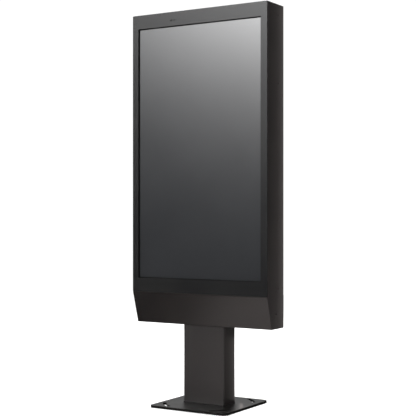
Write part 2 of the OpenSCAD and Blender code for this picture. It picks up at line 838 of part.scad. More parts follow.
module rear_door() {
    // Two folded stiffeners beside the vents, open at their ends
    stiff_x = vent_w / 2 + 40;
    stiff_half = 15;
    color("#3a3634") difference() {
        union() {
            box([door_x0, door_inner_y, door_z0], [door_x1, door_back_y, door_z1]);
            ring([door_x0, door_z0], [door_x1, door_z1], [door_x0 + rim_t, door_z0 + rim_t],
                 [door_x1 - rim_t, door_z1 - rim_t], door_y, door_back_y);
            both_sides() translate([stiff_x, 0, 0])
                box([-stiff_half, door_inner_y - 6, door_z0 + 100],
                    [stiff_half, door_back_y - 1, door_z1 - 100]);
        }
        for (z = [intake_z, exhaust_z])
            box([-vent_w / 2, door_inner_y - e, z], [vent_w / 2, door_back_y + e, z + vent_h]);
        for (z = lock_z) rod_y(lock_x, z, door_inner_y - e, door_back_y + e, lock_r + run);
        both_sides() translate([stiff_x, 0, 0])
            box([-stiff_half + 2, door_inner_y - 4, door_z0 + 99],
                [stiff_half - 2, door_inner_y, door_z1 - 99]);
    }
}

// Sloping blades in a flat frame that lies on the outside of the door
module grille(z0) {
    blades = 9;
    pitch = (vent_h - 8) / blades;
    y = door_back_y;
    rim = 10;
    color("#2f2c2a") {
        ring([-vent_w / 2 - rim, z0 - rim], [vent_w / 2 + rim, z0 + vent_h + rim],
             [-vent_w / 2 + 1, z0 + 1], [vent_w / 2 - 1, z0 + vent_h - 1], y, y + 2);
        for (i = [0 : blades - 1]) across(-vent_w / 2 + 0.5, vent_w / 2 - 0.5) polygon([
            [y - 3, z0 + 12 + i * pitch + 2], [y + 2, z0 + 4 + i * pitch],
            [y + 3.5, z0 + 4 + i * pitch], [y - 1.5, z0 + 12 + i * pitch + 2]]);
    }
}

module intake_grille() { grille(intake_z); }
module exhaust_grille() { grille(exhaust_z); }

module door_gasket() {
    out = land_w - 10;
    in = land_w - 2;
    color("#0b0b0b") ring([-half_w + out, fold_z + out], [half_w - out, casing_z1 - out],
        [-half_w + in, fold_z + in], [half_w - in, casing_z1 - in], back_y, back_y + gasket_h);
}

// Two guides and a foot that the filter slides up out of
module filter_holder() {
    w = filter_half_w + gap;
    z1 = filter_z0 + filter_h - 6;
    y0 = filter_y - 2 - gap;
    color("#8d9194") {
        both_sides() difference() {
            box([w - 8, y0, filter_z0 - 5], [w + 3, door_inner_y, z1]);
            box([w - 9, filter_y - gap, filter_z0 - gap], [w, door_inner_y + e, z1 + e]);
        }
        box([-w, y0, filter_z0 - 5], [w, door_inner_y, filter_z0 - gap]);
    }
}

module air_filter() {
    ribs = 22;
    pitch = (2 * filter_half_w - 20) / ribs;
    color("#6f7478") {
        ring([-filter_half_w, filter_z0], [filter_half_w, filter_z0 + filter_h],
             [-filter_half_w + 8, filter_z0 + 8], [filter_half_w - 8, filter_z0 + filter_h - 8],
             filter_y, filter_y + filter_d);
        box([-filter_half_w + 7, filter_y + 3, filter_z0 + 7],
            [filter_half_w - 7, filter_y + 5, filter_z0 + filter_h - 7]);
        for (i = [1 : ribs - 1]) box([-filter_half_w + 10 + i * pitch - 1, filter_y + 1.5, filter_z0 + 7],
            [-filter_half_w + 10 + i * pitch + 1, filter_y + 6.5, filter_z0 + filter_h - 7]);
    }
}

module hinge_seats() {
    color("#4a4745") for (z = hinge_z) translate([hinge_x, 0, z - hinge_half_h]) difference() {
        union() {
            translate([0, hinge_y, 0]) cylinder(r = hinge_r, h = hinge_half_h - 0.2);
            box([-4, back_y, 0], [4, hinge_y, hinge_half_h - 0.2]);
        }
        translate([0, hinge_y, 4]) cylinder(r = hinge_pin_r + 0.02, h = hinge_half_h);
    }
}

module hinge_pins() {
    color("silver") for (z = hinge_z) translate([hinge_x, hinge_y, z - hinge_half_h + 4])
        cylinder(r = hinge_pin_r, h = 2 * hinge_half_h - 8);
}

module hinge_knuckles() {
    color("#4a4745") for (z = hinge_z) translate([hinge_x, hinge_y, z + 0.2]) difference() {
        union() {
            cylinder(r = hinge_r, h = hinge_half_h - 0.2);
            box([0, -4, 0], [door_x0 - hinge_x, 4, hinge_half_h - 0.2]);
        }
        translate([0, 0, -e]) cylinder(r = hinge_pin_r + run, h = hinge_half_h - 3.5 + e);
    }
}

module lock_body(z) {
    color("#b9bcbe") difference() {
        union() {
            rod_y(lock_x, z, door_back_y, door_back_y + 3, lock_r + 3);
            rod_y(lock_x, z, cam_y + cam_t + gap, door_back_y + e, lock_r);
            translate([lock_x, door_inner_y - 4, z]) rotate([-90, 0, 0])
                cylinder(r = lock_r + 4.5, h = 4, $fn = 6);
        }
        rod_y(lock_x, z, cam_y, door_back_y + 3 + e, lock_core_r + run);
    }
}

// The plug that the key turns, with its cam and nut; the cam stands up when unlocked
module lock_core(z) {
    front = door_back_y + 3.5;
    color("#d5d7d8") difference() {
        union() {
            rod_y(lock_x, z, cam_y, front, lock_core_r);
            box([lock_x - 8, cam_y, z - 8], [lock_x + 8, cam_y + cam_t, z + cam_reach]);
            translate([lock_x, cam_y - 3, z]) rotate([-90, 0, 0]) cylinder(r = 6.5, h = 4, $fn = 6);
        }
        box([lock_x - 1, front - 8, z - 3.5], [lock_x + 1, front + e, z + 3.5]);
    }
}

module lock_body_upper() { lock_body(lock_z[1]); }
module lock_body_lower() { lock_body(lock_z[0]); }
module lock_core_upper() { lock_core(lock_z[1]); }
module lock_core_lower() { lock_core(lock_z[0]); }

base_plate();
column_tube();
column_head_plate();
head_bolts();
frame_rail_left();
frame_rail_right();
lower_cross_member();
middle_cross_member();
upper_cross_member();
frame_bolts();
front_bezel();
side_panel_left();
side_panel_right();
top_panel();
bottom_panel_left();
bottom_panel_right();
chin_cover();
lower_rear_cover();
rear_frame();
side_screws();
chin_screws();
rear_cover_screws();
cover_glass();
touch_film();
glass_gasket();
glass_clamps();
lcd_cell();
diffuser_plate();
led_bars();
backlight_tray();
heat_sink();
display_brackets();
sensor_board();
sensor_windows();
equipment_plate();
power_supply();
control_board();
media_player();
player_button();
breaker_box();
breaker_toggle();
power_harness();
fan_tray();
fan_frame_left();
fan_frame_right();
fan_rotor_left();
fan_rotor_right();
rear_door();
intake_grille();
exhaust_grille();
door_gasket();
filter_holder();
air_filter();
hinge_seats();
hinge_pins();
hinge_knuckles();
lock_body_upper();
lock_body_lower();
lock_core_upper();
lock_core_lower();
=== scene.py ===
import json
import math

import bpy
from mathutils import Matrix, Vector

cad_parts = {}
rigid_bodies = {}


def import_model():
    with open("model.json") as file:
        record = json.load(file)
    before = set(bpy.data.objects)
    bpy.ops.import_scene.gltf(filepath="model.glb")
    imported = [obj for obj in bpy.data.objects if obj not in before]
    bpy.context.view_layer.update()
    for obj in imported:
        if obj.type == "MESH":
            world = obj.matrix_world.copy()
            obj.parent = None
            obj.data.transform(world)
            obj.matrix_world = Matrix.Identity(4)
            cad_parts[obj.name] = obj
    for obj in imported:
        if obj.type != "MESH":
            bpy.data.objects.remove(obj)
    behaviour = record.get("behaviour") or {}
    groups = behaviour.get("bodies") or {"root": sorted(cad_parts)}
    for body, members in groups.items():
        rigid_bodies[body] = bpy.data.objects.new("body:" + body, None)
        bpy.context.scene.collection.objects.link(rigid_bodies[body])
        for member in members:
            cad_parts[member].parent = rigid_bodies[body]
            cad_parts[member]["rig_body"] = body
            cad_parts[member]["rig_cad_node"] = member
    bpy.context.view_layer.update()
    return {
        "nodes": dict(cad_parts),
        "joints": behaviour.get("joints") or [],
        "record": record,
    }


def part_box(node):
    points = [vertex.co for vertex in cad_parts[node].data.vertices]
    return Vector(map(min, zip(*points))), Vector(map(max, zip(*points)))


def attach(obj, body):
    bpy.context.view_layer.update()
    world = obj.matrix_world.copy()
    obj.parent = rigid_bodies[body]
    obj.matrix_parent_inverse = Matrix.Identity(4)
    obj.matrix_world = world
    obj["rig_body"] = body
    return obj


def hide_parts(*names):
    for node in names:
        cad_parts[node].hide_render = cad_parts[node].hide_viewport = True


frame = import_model()
mm = 0.001
bodyOf = {node: body for body, nodes in frame["record"]["behaviour"]["bodies"].items() for node in nodes}
print("frame loaded:", len(bodyOf), "nodes")


def hexColor(text):  # sRGB hex to linear
    parts = [int(text[i:i + 2], 16) / 255 for i in (1, 3, 5)]
    return [c / 12.92 if c <= 0.04045 else ((c + 0.055) / 1.055) ** 2.4 for c in parts] + [1.0]


def addNode(tree, kind, props=None, values=None, links=None):
    node = tree.nodes.new(kind)
    for name, value in (props or {}).items():
        setattr(node, name, value)
    for socket, value in (values or {}).items():
        node.inputs[socket].default_value = value
    for socket, source in (links or {}).items():
        tree.links.new(source, node.inputs[socket])
    return node


def selectOnly(*pieces):
    bpy.ops.object.select_all(action="DESELECT")
    for piece in pieces:
        piece.select_set(True)
    bpy.context.view_layer.objects.active = pieces[0]


def bakePlace(piece):  # the piece's place goes into its mesh, and its object to the origin
    selectOnly(piece)
    bpy.ops.object.transform_apply(location=True, rotation=True, scale=True)


def applyModifier(piece, kind, **settings):
    modifier = piece.modifiers.new(kind.title(), kind)
    for name, value in settings.items():
        setattr(modifier, name, value)
    selectOnly(piece)
    bpy.ops.object.modifier_apply(modifier=modifier.name)


def roundEdges(piece, width, segments=2, angle=35):
    applyModifier(piece, "BEVEL", width=width, segments=segments, limit_method="ANGLE",
                  angle_limit=math.radians(angle), use_clamp_overlap=False, harden_normals=False)
    smooth(piece)


def smooth(piece, angle=50):  # rounded edges shade smoothly, and large faces stay flat
    selectOnly(piece)
    bpy.ops.object.shade_smooth_by_angle(angle=math.radians(angle))
    applyModifier(piece, "WEIGHTED_NORMAL", mode="FACE_AREA", weight=100, keep_sharp=True)


def joined(pieces, name):
    selectOnly(*pieces)
    if len(pieces) > 1:
        bpy.ops.object.join()
    piece = bpy.context.view_layer.objects.active
    piece.name = name
    piece.data.name = name
    return piece


def copyAt(template, place, turn=None):  # a copy with its own mesh
    piece = template.copy()
    piece.data = template.data.copy()
    bpy.context.scene.collection.objects.link(piece)
    piece.matrix_world = Matrix.Translation(place) @ (turn or Matrix.Identity(4))
    return piece


def wear(piece, material):
    piece.data.materials.clear()
    piece.data.materials.append(material)
    return piece


def startBox(low, high, name):  # a cube primitive at its size and place
    bpy.ops.object.select_all(action="DESELECT")
    low, high = Vector(low), Vector(high)
    bpy.ops.mesh.primitive_cube_add(size=1, location=(low + high) / 2, scale=high - low)
    piece = bpy.context.view_layer.objects.active
    piece.name = name
    bakePlace(piece)
    return piece


def startRod(start, end, radius, name, vertices=32):  # a cylinder primitive between two points
    bpy.ops.object.select_all(action="DESELECT")
    start, end = Vector(start), Vector(end)
    turn = (end - start).to_track_quat("Z", "Y").to_euler()
    bpy.ops.mesh.primitive_cylinder_add(vertices=vertices, radius=radius, depth=(end - start).length,
                                        location=(start + end) / 2, rotation=turn)
    piece = bpy.context.view_layer.objects.active
    piece.name = name
    bakePlace(piece)
    return piece


def leaveEdit():
    bpy.ops.object.mode_set(mode="OBJECT")


def pick(piece, kind, wanted):  # goes into edit mode with the faces, edges or points for which wanted(one) holds
    selectOnly(piece)
    bpy.ops.object.mode_set(mode="EDIT")
    bpy.ops.mesh.select_mode(type=kind)
    bpy.ops.mesh.select_all(action="DESELECT")
    leaveEdit()
    for one in {"FACE": piece.data.polygons, "EDGE": piece.data.edges, "VERT": piece.data.vertices}[kind]:
        one.select = wanted(one)
    bpy.ops.object.mode_set(mode="EDIT")


def selectFaces(piece, wanted):
    pick(piece, "FACE", wanted)


def facing(axis, share=0.9):
    direction = Vector(axis).normalized()
    return lambda face: face.normal.dot(direction) > share


# A merged copy of a CAD node, with its flat faces made whole and its edges rounded
def dressNode(node, edge, segments=2, name=None, angle=35, dissolve=True):
    source = frame["nodes"][node]
    selectOnly(source)
    bpy.ops.object.duplicate()
    piece = bpy.context.view_layer.objects.active
    bpy.ops.object.parent_clear(type="CLEAR_KEEP_TRANSFORM")
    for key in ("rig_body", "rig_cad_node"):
        del piece[key]
    piece.name = name or node.title().replace("_", "")
    piece.data.name = piece.name
    bpy.ops.object.mode_set(mode="EDIT")
    bpy.ops.mesh.select_all(action="SELECT")
    bpy.ops.mesh.remove_doubles(threshold=0.002 * mm)
    bpy.ops.mesh.customdata_custom_splitnormals_clear()
    if dissolve:
        bpy.ops.mesh.dissolve_limited(angle_limit=math.radians(0.4))
    leaveEdit()
    if edge > 0:
        roundEdges(piece, edge, segments, angle)
    else:
        smooth(piece)
    return piece


def fit(piece, nodes, material):  # the piece stands for these nodes and rides on their body
    if material:
        wear(piece, material)
    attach(piece, bodyOf[nodes[0]])
    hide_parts(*nodes)
    return piece


def carry(node, edge, material, segments=2, name=None, angle=35):  # the usual way: dress a node and fit it
    piece = dressNode(node, edge, segments, name, angle)
    return fit(piece, [node], material)


def addTo(piece, node, material):  # an added detail rides with its node and takes its own finish
    wear(piece, material)
    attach(piece, bodyOf[node])
    return piece


def newFinish(name, **settings):
    finish = bpy.data.materials.new(name)
    finish.use_nodes = True
    tree = finish.node_tree
    shader = tree.nodes["Principled BSDF"]
    for socket, value in settings.items():
        shader.inputs[socket.replace("_", " ")].default_value = value
    return finish, tree, shader, addNode(tree, "ShaderNodeTexCoord").outputs["Object"]


def driftColor(tree, shader, place, tones, size, stretch=(1, 1, 1)):  # close tones in soft patches of this size
    spot = addNode(tree, "ShaderNodeMapping", values={"Scale": stretch}, links={"Vector": place})
    cloud = addNode(tree, "ShaderNodeTexNoise", values={"Scale": 1 / size, "Detail": 4.0},
                    links={"Vector": spot.outputs[0]})
    ramp = addNode(tree, "ShaderNodeValToRGB", links={"Fac": cloud.outputs[0]})
    ramp.color_ramp.elements[0].position, ramp.color_ramp.elements[1].position = 0.34, 0.66
    for element, tone in zip(ramp.color_ramp.elements, tones):
        element.color = hexColor(tone)
    tree.links.new(ramp.outputs[0], shader.inputs["Base Color"])
    return cloud.outputs[0]


def driftGloss(tree, shader, source, low, high):  # roughness between two values, led by a pattern
    spread = addNode(tree, "ShaderNodeMapRange",
                     values={"From Min": 0.3, "From Max": 0.7, "To Min": low, "To Max": high},
                     links={"Value": source})
    tree.links.new(spread.outputs[0], shader.inputs["Roughness"])


def addGrain(tree, shader, place, size, depth, stretch=(1, 1, 1), detail=2.0):  # bumps of this size and depth
    spot = addNode(tree, "ShaderNodeMapping", values={"Scale": stretch}, links={"Vector": place})
    grain = addNode(tree, "ShaderNodeTexNoise", values={"Scale": 1 / size, "Detail": detail},
                    links={"Vector": spot.outputs[0]})
    bump = addNode(tree, "ShaderNodeBump", values={"Distance": depth, "Strength": 0.6},
                   links={"Height": grain.outputs[0]})
    tree.links.new(bump.outputs[0], shader.inputs["Normal"])
    return grain.outputs[0]


def coated(name, tones, rough, grain, depth, patch=0.12, **settings):  # paint and moulded plastic
    finish, tree, shader, place = newFinish(name, IOR=1.5, **settings)
    cloud = driftColor(tree, shader, place, tones, patch)
    driftGloss(tree, shader, cloud, *rough)
    addGrain(tree, shader, place, grain, depth)
    return finish


def rolled(name, tones, rough, grain, depth, stretch, patch=0.05, **settings):  # metal, with its rolling lines
    finish, tree, shader, place = newFinish(name, Metallic=1.0, **settings)
    driftColor(tree, shader, place, tones, patch, stretch)
    lines = addGrain(tree, shader, place, grain, depth, stretch, 3.0)
    driftGloss(tree, shader, lines, *rough)
    return finish


# Polyester powder coat with a fine texture, sprayed dry and baked: a soft black with a warm cast and no sharp
# reflections. Its texture is 0.4 mm wide; it is drawn 1.6 mm wide so that it shows from near by.
powderCoat = coated("TexturedBlackPowderCoat", ("#171414", "#1a1716"), (0.34, 0.38), 1.6 * mm, 0.03 * mm,
                    Specular_IOR_Level=0.2)

# Satin wet paint on the front frame, smoother than the casing: a neutral black that still shows broad reflections.
satinPaint = coated("SatinBlackPaint", ("#101011", "#141414"), (0.23, 0.27), 2.4 * mm, 0.008 * mm, 0.2,
                    Specular_IOR_Level=0.14)

# The floor plate has a thick satin powder coat, with slight orange peel 3 mm wide.
satinCoat = coated("SatinBlackPowderCoat", ("#0f0e0d", "#131211"), (0.36, 0.42), 3 * mm, 0.008 * mm, 0.09,
                   Specular_IOR_Level=0.06)

# Hot-dip galvanised sheet: zinc crystals 8 mm across, each with its own tone and shine.
galvanised, tree, shader, place = newFinish("HotDipGalvanisedSheet", Metallic=1.0)
crystal = addNode(tree, "ShaderNodeTexVoronoi", values={"Scale": 1 / (8 * mm), "Randomness": 1.0},
                  links={"Vector": place})
tone = addNode(tree, "ShaderNodeRGBToBW", links={"Color": crystal.outputs["Color"]})
zincRamp = addNode(tree, "ShaderNodeValToRGB", links={"Fac": tone.outputs[0]})
zincRamp.color_ramp.elements[0].color = hexColor("#83878a")
zincRamp.color_ramp.elements[1].color = hexColor("#a3a7a9")
tree.links.new(zincRamp.outputs[0], shader.inputs["Base Color"])
driftGloss(tree, shader, tone.outputs[0], 0.36, 0.5)
addGrain(tree, shader, place, 0.9 * mm, 0.01 * mm)

# Bright zinc plate on turned and headed fasteners, with a faint blue passivation.
zincPlate = rolled("BlueZincPlate", ("#b4b9c0", "#cfd3d6"), (0.22, 0.34), 0.8 * mm, 0.01 * mm, (1, 1, 1), 0.004)

# Black oxide on socket screws: oiled black steel with a soft metal shine.
blackOxide = rolled("BlackOxideSteel", ("#262524", "#3b3938"), (0.30, 0.42), 0.7 * mm, 0.01 * mm, (1, 1, 1), 0.006)

# The screws sunk in the sides of the chin are oxidised without oil, which leaves them dull and darker.
dullOxide = rolled("DullBlackOxide", ("#0a0a0a", "#121111"), (0.6, 0.75), 0.7 * mm, 0.02 * mm, (1, 1, 1), 0.006)

# Toughened float glass with a black printed back and a fine etched face against glare: lamps show as broad glows.
coverGlass, tree, shader, place = newFinish("EtchedGlassOverBlackPrint", IOR=1.52)
cloud = driftColor(tree, shader, place, ("#252628", "#28292b"), 0.35)
driftGloss(tree, shader, cloud, 0.11, 0.13)

# Indium tin oxide film on polyester, laminated: a clear sheet with a faint bronze and violet shine.
sensorFilm = coated("LaminatedSensorFilm", ("#3a3238", "#42393c"), (0.10, 0.16), 2 * mm, 0.002 * mm, 0.3,
                    Coat_Weight=0.4)

# Closed-cell neoprene foam strip, die cut: deep matt black with open pores 0.8 mm wide on its cut faces.
foam = coated("ClosedCellNeoprene", ("#050505", "#0a0a0a"), (0.78, 0.92), 0.8 * mm, 0.25 * mm, 0.01,
              Specular_IOR_Level=0.06)

# The walls of the opening round the glass are painted matt black as painted shade: they stand in for the shadow in
# the recess, and make no glints.
paintedShadeOnOpeningEdge = coated("PaintedShadeOpeningEdge", ("#050505", "#080808"), (0.7, 0.8), 1.6 * mm, 0.02 * mm, 0.05,
                   Specular_IOR_Level=0.05)

# Extruded EPDM rubber: deep black with a soft bloom along it.
rubber = coated("ExtrudedRubber", ("#191919", "#232324"), (0.48, 0.66), 1.1 * mm, 0.05 * mm, 0.03)

# Liquid crystal panel with its polariser: almost black and smooth.
panelFilm = coated("PolariserFilm", ("#0d0e13", "#12131a"), (0.12, 0.2), 1.5 * mm, 0.002 * mm, 0.2)

# Opal acrylic diffuser, cast: milky white with a slight glow through it.
opalAcrylic = coated("OpalAcrylic", ("#e9ebea", "#f2f3f1"), (0.32, 0.4), 1.5 * mm, 0.01 * mm, 0.1,
                     Subsurface_Weight=0.15, Subsurface_Scale=0.004)

# White solder resist on the aluminium core boards of the light bars.
whiteResist = coated("WhiteSolderResist", ("#dfe0dc", "#ecedea"), (0.38, 0.5), 0.9 * mm, 0.02 * mm, 0.02)

# Cold-rolled aluminium sheet, mill finish: fine rolling lines run along its height.
aluminiumSheet = rolled("RolledAluminiumSheet", ("#a9abad", "#bdbfc1"), (0.28, 0.4), 1.1 * mm, 0.02 * mm,
                        (6, 6, 0.15))

# Extruded aluminium: die lines run the whole height of the section.
extrudedAluminium = rolled("ExtrudedAluminium", ("#b0b2b5", "#c6c8ca"), (0.26, 0.38), 1.4 * mm, 0.04 * mm,
                           (3, 3, 0.02))

# Glass-fibre board with green solder resist over copper tracks, which stand up under it.
boardGreen, tree, shader, place = newFinish("GreenSolderResist", IOR=1.5, Coat_Weight=0.3, Coat_Roughness=0.2)
tracks = addNode(tree, "ShaderNodeTexBrick",
                 props={"offset": 0.37, "offset_frequency": 3, "squash": 2.3, "squash_frequency": 2},
                 values={"Scale": 1 / (34 * mm), "Mortar Size": 0.022, "Mortar Smooth": 0.15, "Bias": 0.1,
                         "Color1": hexColor("#0b3a25"), "Color2": hexColor("#0e442d"), "Mortar": hexColor("#1d6a48")})
turned = addNode(tree, "ShaderNodeMapping", values={"Rotation": (math.pi / 2, 0, 0)}, links={"Vector": place})
tree.links.new(turned.outputs[0], tracks.inputs["Vector"])
tree.links.new(tracks.outputs["Color"], shader.inputs["Base Color"])
raised = addNode(tree, "ShaderNodeBump", values={"Distance": 0.06 * mm, "Strength": 0.8},
                 links={"Height": tracks.outputs["Fac"]})
tree.links.new(raised.outputs[0], shader.inputs["Normal"])
driftGloss(tree, shader, addNode(tree, "ShaderNodeTexNoise", values={"Scale": 1 / (15 * mm)},
                                 links={"Vector": place}).outputs[0], 0.28, 0.42)

# Smoked acrylic window, moulded with a matt face against glare: a dark brown-black that passes infra-red.
smokedAcrylic = coated("SmokedAcrylic", ("#020202", "#040303"), (0.5, 0.6), 2 * mm, 0.002 * mm, 0.01,
                       Specular_IOR_Level=0.01)

# Perforated zinc-coated steel of the power supply case: dull silver with rolling lines along its length.
caseSteel = rolled("ZincCoatedCaseSteel", ("#9b9ea1", "#b3b6b8"), (0.32, 0.46), 1 * mm, 0.02 * mm, (0.15, 4, 4))

# Die-cast player case under a fine black anodised finish, blasted: a cool dark grey.
castCase = rolled("BlastedBlackAnodise", ("#2c2e31", "#383a3d"), (0.42, 0.54), 0.7 * mm, 0.03 * mm, (1, 1, 1), 0.02)

# Moulded ABS and polycarbonate of switches, breakers and plugs, spark-eroded moulds: fine matt grain 0.7 mm wide.
buttonPlastic = coated("SatinMouldedAcrylic", ("#d5d8d6", "#e2e4e1"), (0.3, 0.4), 0.7 * mm, 0.01 * mm, 0.004)
breakerPlastic = coated("LightGreyPolycarbonate", ("#c9cbc9", "#d6d7d4"), (0.40, 0.52), 0.8 * mm, 0.03 * mm, 0.03)
togglePlastic = coated("BlackPolycarbonate", ("#17181a", "#222326"), (0.28, 0.4), 0.7 * mm, 0.02 * mm, 0.006)
greenPlastic = coated("GreenTerminalPlastic", ("#1f7a45", "#2a8d52"), (0.36, 0.48), 0.7 * mm, 0.02 * mm, 0.01)
orangePlastic = coated("OrangeLeverPlastic", ("#d5701d", "#e07f2a"), (0.34, 0.44), 0.7 * mm, 0.02 * mm, 0.01)

# Epoxy moulding of chips and small parts, matt black.
chipEpoxy = coated("BlackMouldedEpoxy", ("#1b1b1c", "#252527"), (0.5, 0.66), 0.6 * mm, 0.03 * mm, 0.006)

# PVC cable sheath, extruded: satin black with faint rings where the tool pulled it.
cableSheath = coated("BlackCableSheath", ("#18191b", "#242527"), (0.36, 0.5), 1.3 * mm, 0.05 * mm, 0.02)
tieNylon = coated("WhiteNylon", ("#d8d6cd", "#e6e4dc"), (0.42, 0.5), 0.8 * mm, 0.02 * mm, 0.01)

# Glass-filled nylon of the fans, moulded: black with a dry, fibrous sheen.
fanPlastic = coated("GlassFilledNylon", ("#1c1c1d", "#29292b"), (0.38, 0.56), 0.9 * mm, 0.05 * mm, 0.012)

# Spun polyester fleece of the filter: off-white fibres, with tufts 1.1 mm wide.
fleece, tree, shader, place = newFinish("SpunPolyesterFleece", IOR=1.46, Sheen_Weight=0.35, Sheen_Roughness=0.5)
fibreCloud = driftColor(tree, shader, place, ("#b9b8b0", "#dddcd5"), 3 * mm)
driftGloss(tree, shader, fibreCloud, 0.8, 0.95)
addGrain(tree, shader, place, 1.1 * mm, 0.6 * mm, (1, 1, 4), 5.0)

# Stainless hinge steel, drawn and tumbled, and its ground pins.
hingeSteel = rolled("TumbledStainlessSteel", ("#8d8f91", "#a8aaab"), (0.26, 0.4), 0.9 * mm, 0.03 * mm, (1, 1, 1),
                    0.01)
pinSteel = rolled("GroundStainlessSteel", ("#b3b5b7", "#c7c9ca"), (0.14, 0.24), 0.6 * mm, 0.01 * mm, (1, 1, 8),
                  0.01)

# Bright chrome over die-cast zinc: a mirror with slight waves and fine scratches.
brightChrome = rolled("BrightChrome", ("#c9cccd", "#dcdedf"), (0.06, 0.16), 2 * mm, 0.01 * mm, (1, 1, 1), 0.01)

# Brass of terminals and plug contacts, turned.
turnedBrass = rolled("TurnedBrass", ("#b08a3f", "#c9a357"), (0.22, 0.34), 0.6 * mm, 0.01 * mm, (1, 1, 1), 0.004)
print("finishes made")


carry("base_plate", 1.2 * mm, satinCoat, 3)
carry("column_tube", 0.5 * mm, powderCoat)
carry("column_head_plate", 1.0 * mm, powderCoat)

# The weld round the foot of the column: a bead swept along the tube's outline, with a ripple every 5 mm
weld = {"size": 3.2 * mm, "ripple": 5 * mm, "height": 0.35 * mm, "cornerRadius": 8 * mm}


def weldRound(node, level, name):
    low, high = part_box("column_tube")
    bpy.ops.object.select_all(action="DESELECT")
    bpy.ops.mesh.primitive_plane_add(size=1, location=(0, (low.y + high.y) / 2, level))
    path = bpy.context.view_layer.objects.active
    path.scale = (high.x - low.x, high.y - low.y, 1)
    bakePlace(path)
    bpy.ops.object.mode_set(mode="EDIT")
    bpy.ops.mesh.select_all(action="SELECT")
    bpy.ops.mesh.bevel(offset=weld["cornerRadius"], segments=8, affect="VERTICES")
    bpy.ops.mesh.select_all(action="SELECT")
    bpy.ops.mesh.delete(type="ONLY_FACE")
    leaveEdit()
    bpy.ops.object.convert(target="CURVE")
    path.data.bevel_depth = weld["size"]
    path.data.bevel_resolution = 5
    bpy.ops.object.convert(target="MESH")
    bead = bpy.context.view_layer.objects.active
    bpy.ops.object.mode_set(mode="EDIT")
    bpy.ops.mesh.select_all(action="SELECT")
    bpy.ops.mesh.remove_doubles(threshold=0.01 * mm)
    for axis in ((1, 0, 0), (0, 1, 0)):  # cuts along the straight runs give the ripples their points
        for step in range(-46, 47):
            bpy.ops.mesh.select_all(action="SELECT")
            bpy.ops.mesh.bisect(plane_co=Vector(axis) * step * weld["ripple"] / 2, plane_no=axis)
    leaveEdit()

    def proud(point):  # every other ring of points
        along = point.co.x if abs(point.co.y) > high.y - 2 * mm else point.co.y
        return round(along / (weld["ripple"] / 2)) % 2 == 0

    pick(bead, "VERT", proud)
    bpy.ops.transform.shrink_fatten(value=weld["height"])
    leaveEdit()
    smooth(bead, 60)
    bead.name = bead.data.name = name
    return addTo(bead, node, satinCoat)


weldRound("base_plate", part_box("base_plate")[1].z, "ColumnFootWeld")
print("floor plate and column made")

for node in ("frame_rail_left", "frame_rail_right", "lower_cross_member", "middle_cross_member",
             "upper_cross_member", "fan_tray", "equipment_plate", "glass_clamps", "display_brackets"):
    carry(node, 0.3 * mm, galvanised)
carry("head_bolts", 0.5 * mm, zincPlate, 2, "ColumnHeadBolts")
carry("frame_bolts", 0.4 * mm, zincPlate)
print("inner frame made")


casingEdges = {"front_bezel": 0.5, "side_panel_left": 0.4, "side_panel_right": 0.4, "top_panel": 0.7,
               "bottom_panel_left": 0.4, "bottom_panel_right": 0.4, "chin_cover": 0.7, "lower_rear_cover": 0.5,
               "rear_frame": 0.6}
for node, edge in casingEdges.items():
    carry(node, edge * mm, satinPaint if node == "front_bezel" else powderCoat)
bezel = bpy.data.objects["FrontBezel"]
bezel.data.materials.append(paintedShadeOnOpeningEdge)
opening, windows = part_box("glass_gasket"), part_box("sensor_windows")


def within(spot, box, slack=0):
    return all(box[0][i] - slack < spot[i] < box[1][i] + slack for i in (0, 2))


# Painted shade: the inner walls of the glass opening and of the sensor window openings take the matt black painted
# shade finish.
selectFaces(bezel, lambda face: abs(face.normal.y) < 0.9
            and (within(face.center, opening) or within(face.center, windows, 1 * mm)))
bezel.active_material_index = 1
bpy.ops.object.material_slot_assign()
leaveEdit()
print("casing made")

# Button-head screws: a low dome with a hexagon socket, on a threaded shank
sideScrew = {"head": 4 * mm, "height": 1.2 * mm, "socket": 1.25 * mm, "depth": 0.8 * mm, "shank": 2 * mm}
coverScrew = {"head": 4 * mm, "height": 2.0 * mm, "socket": 1.4 * mm, "depth": 1.2 * mm, "shank": 2 * mm}


def cutWith(piece, cutter, operation="DIFFERENCE"):  # takes the cutter's shape out of the piece
    applyModifier(piece, "BOOLEAN", object=cutter, operation=operation, solver="EXACT")
    bpy.data.objects.remove(cutter)


def makeScrew(settings, length):  # seated at the origin, with its head along +Z and its shank along -Z
    height, radius, turn = settings["height"], settings["shank"], 0.25 * mm
    head = startRod((0, 0, 0), (0, 0, height * 0.5), settings["head"], "Head", 36)
    selectFaces(head, facing((0, 0, 1)))
    for step, rise in ((0.12, 0.24), (0.16, 0.16), (0.2, 0.1)):  # each ring rises less, which makes the dome
        bpy.ops.mesh.inset(thickness=settings["head"] * step, depth=height * rise)
    leaveEdit()
    cutWith(head, startRod((0, 0, height - settings["depth"]), (0, 0, height * 2), settings["socket"], "Socket", 6))
    smooth(head, 40)
    shank = startRod((0, 0, -turn), (0, 0, 0), radius, "Shank", 20)
    selectFaces(shank, facing((0, 0, -1)))
    for step in range(int(length / turn) - 2):  # roots and crests of the thread
        bpy.ops.mesh.extrude_region_move(TRANSFORM_OT_translate={"value": (0, 0, -turn)})
        size = 0.86 if step % 2 == 0 else 1 / 0.86
        bpy.ops.transform.resize(value=(size, size, 1))
    bpy.ops.mesh.extrude_region_move(TRANSFORM_OT_translate={"value": (0, 0, -turn)})
    bpy.ops.transform.resize(value=(0.8, 0.8, 1))
    leaveEdit()
    smooth(shank, 40)
    return joined([head, shank], "Screw")


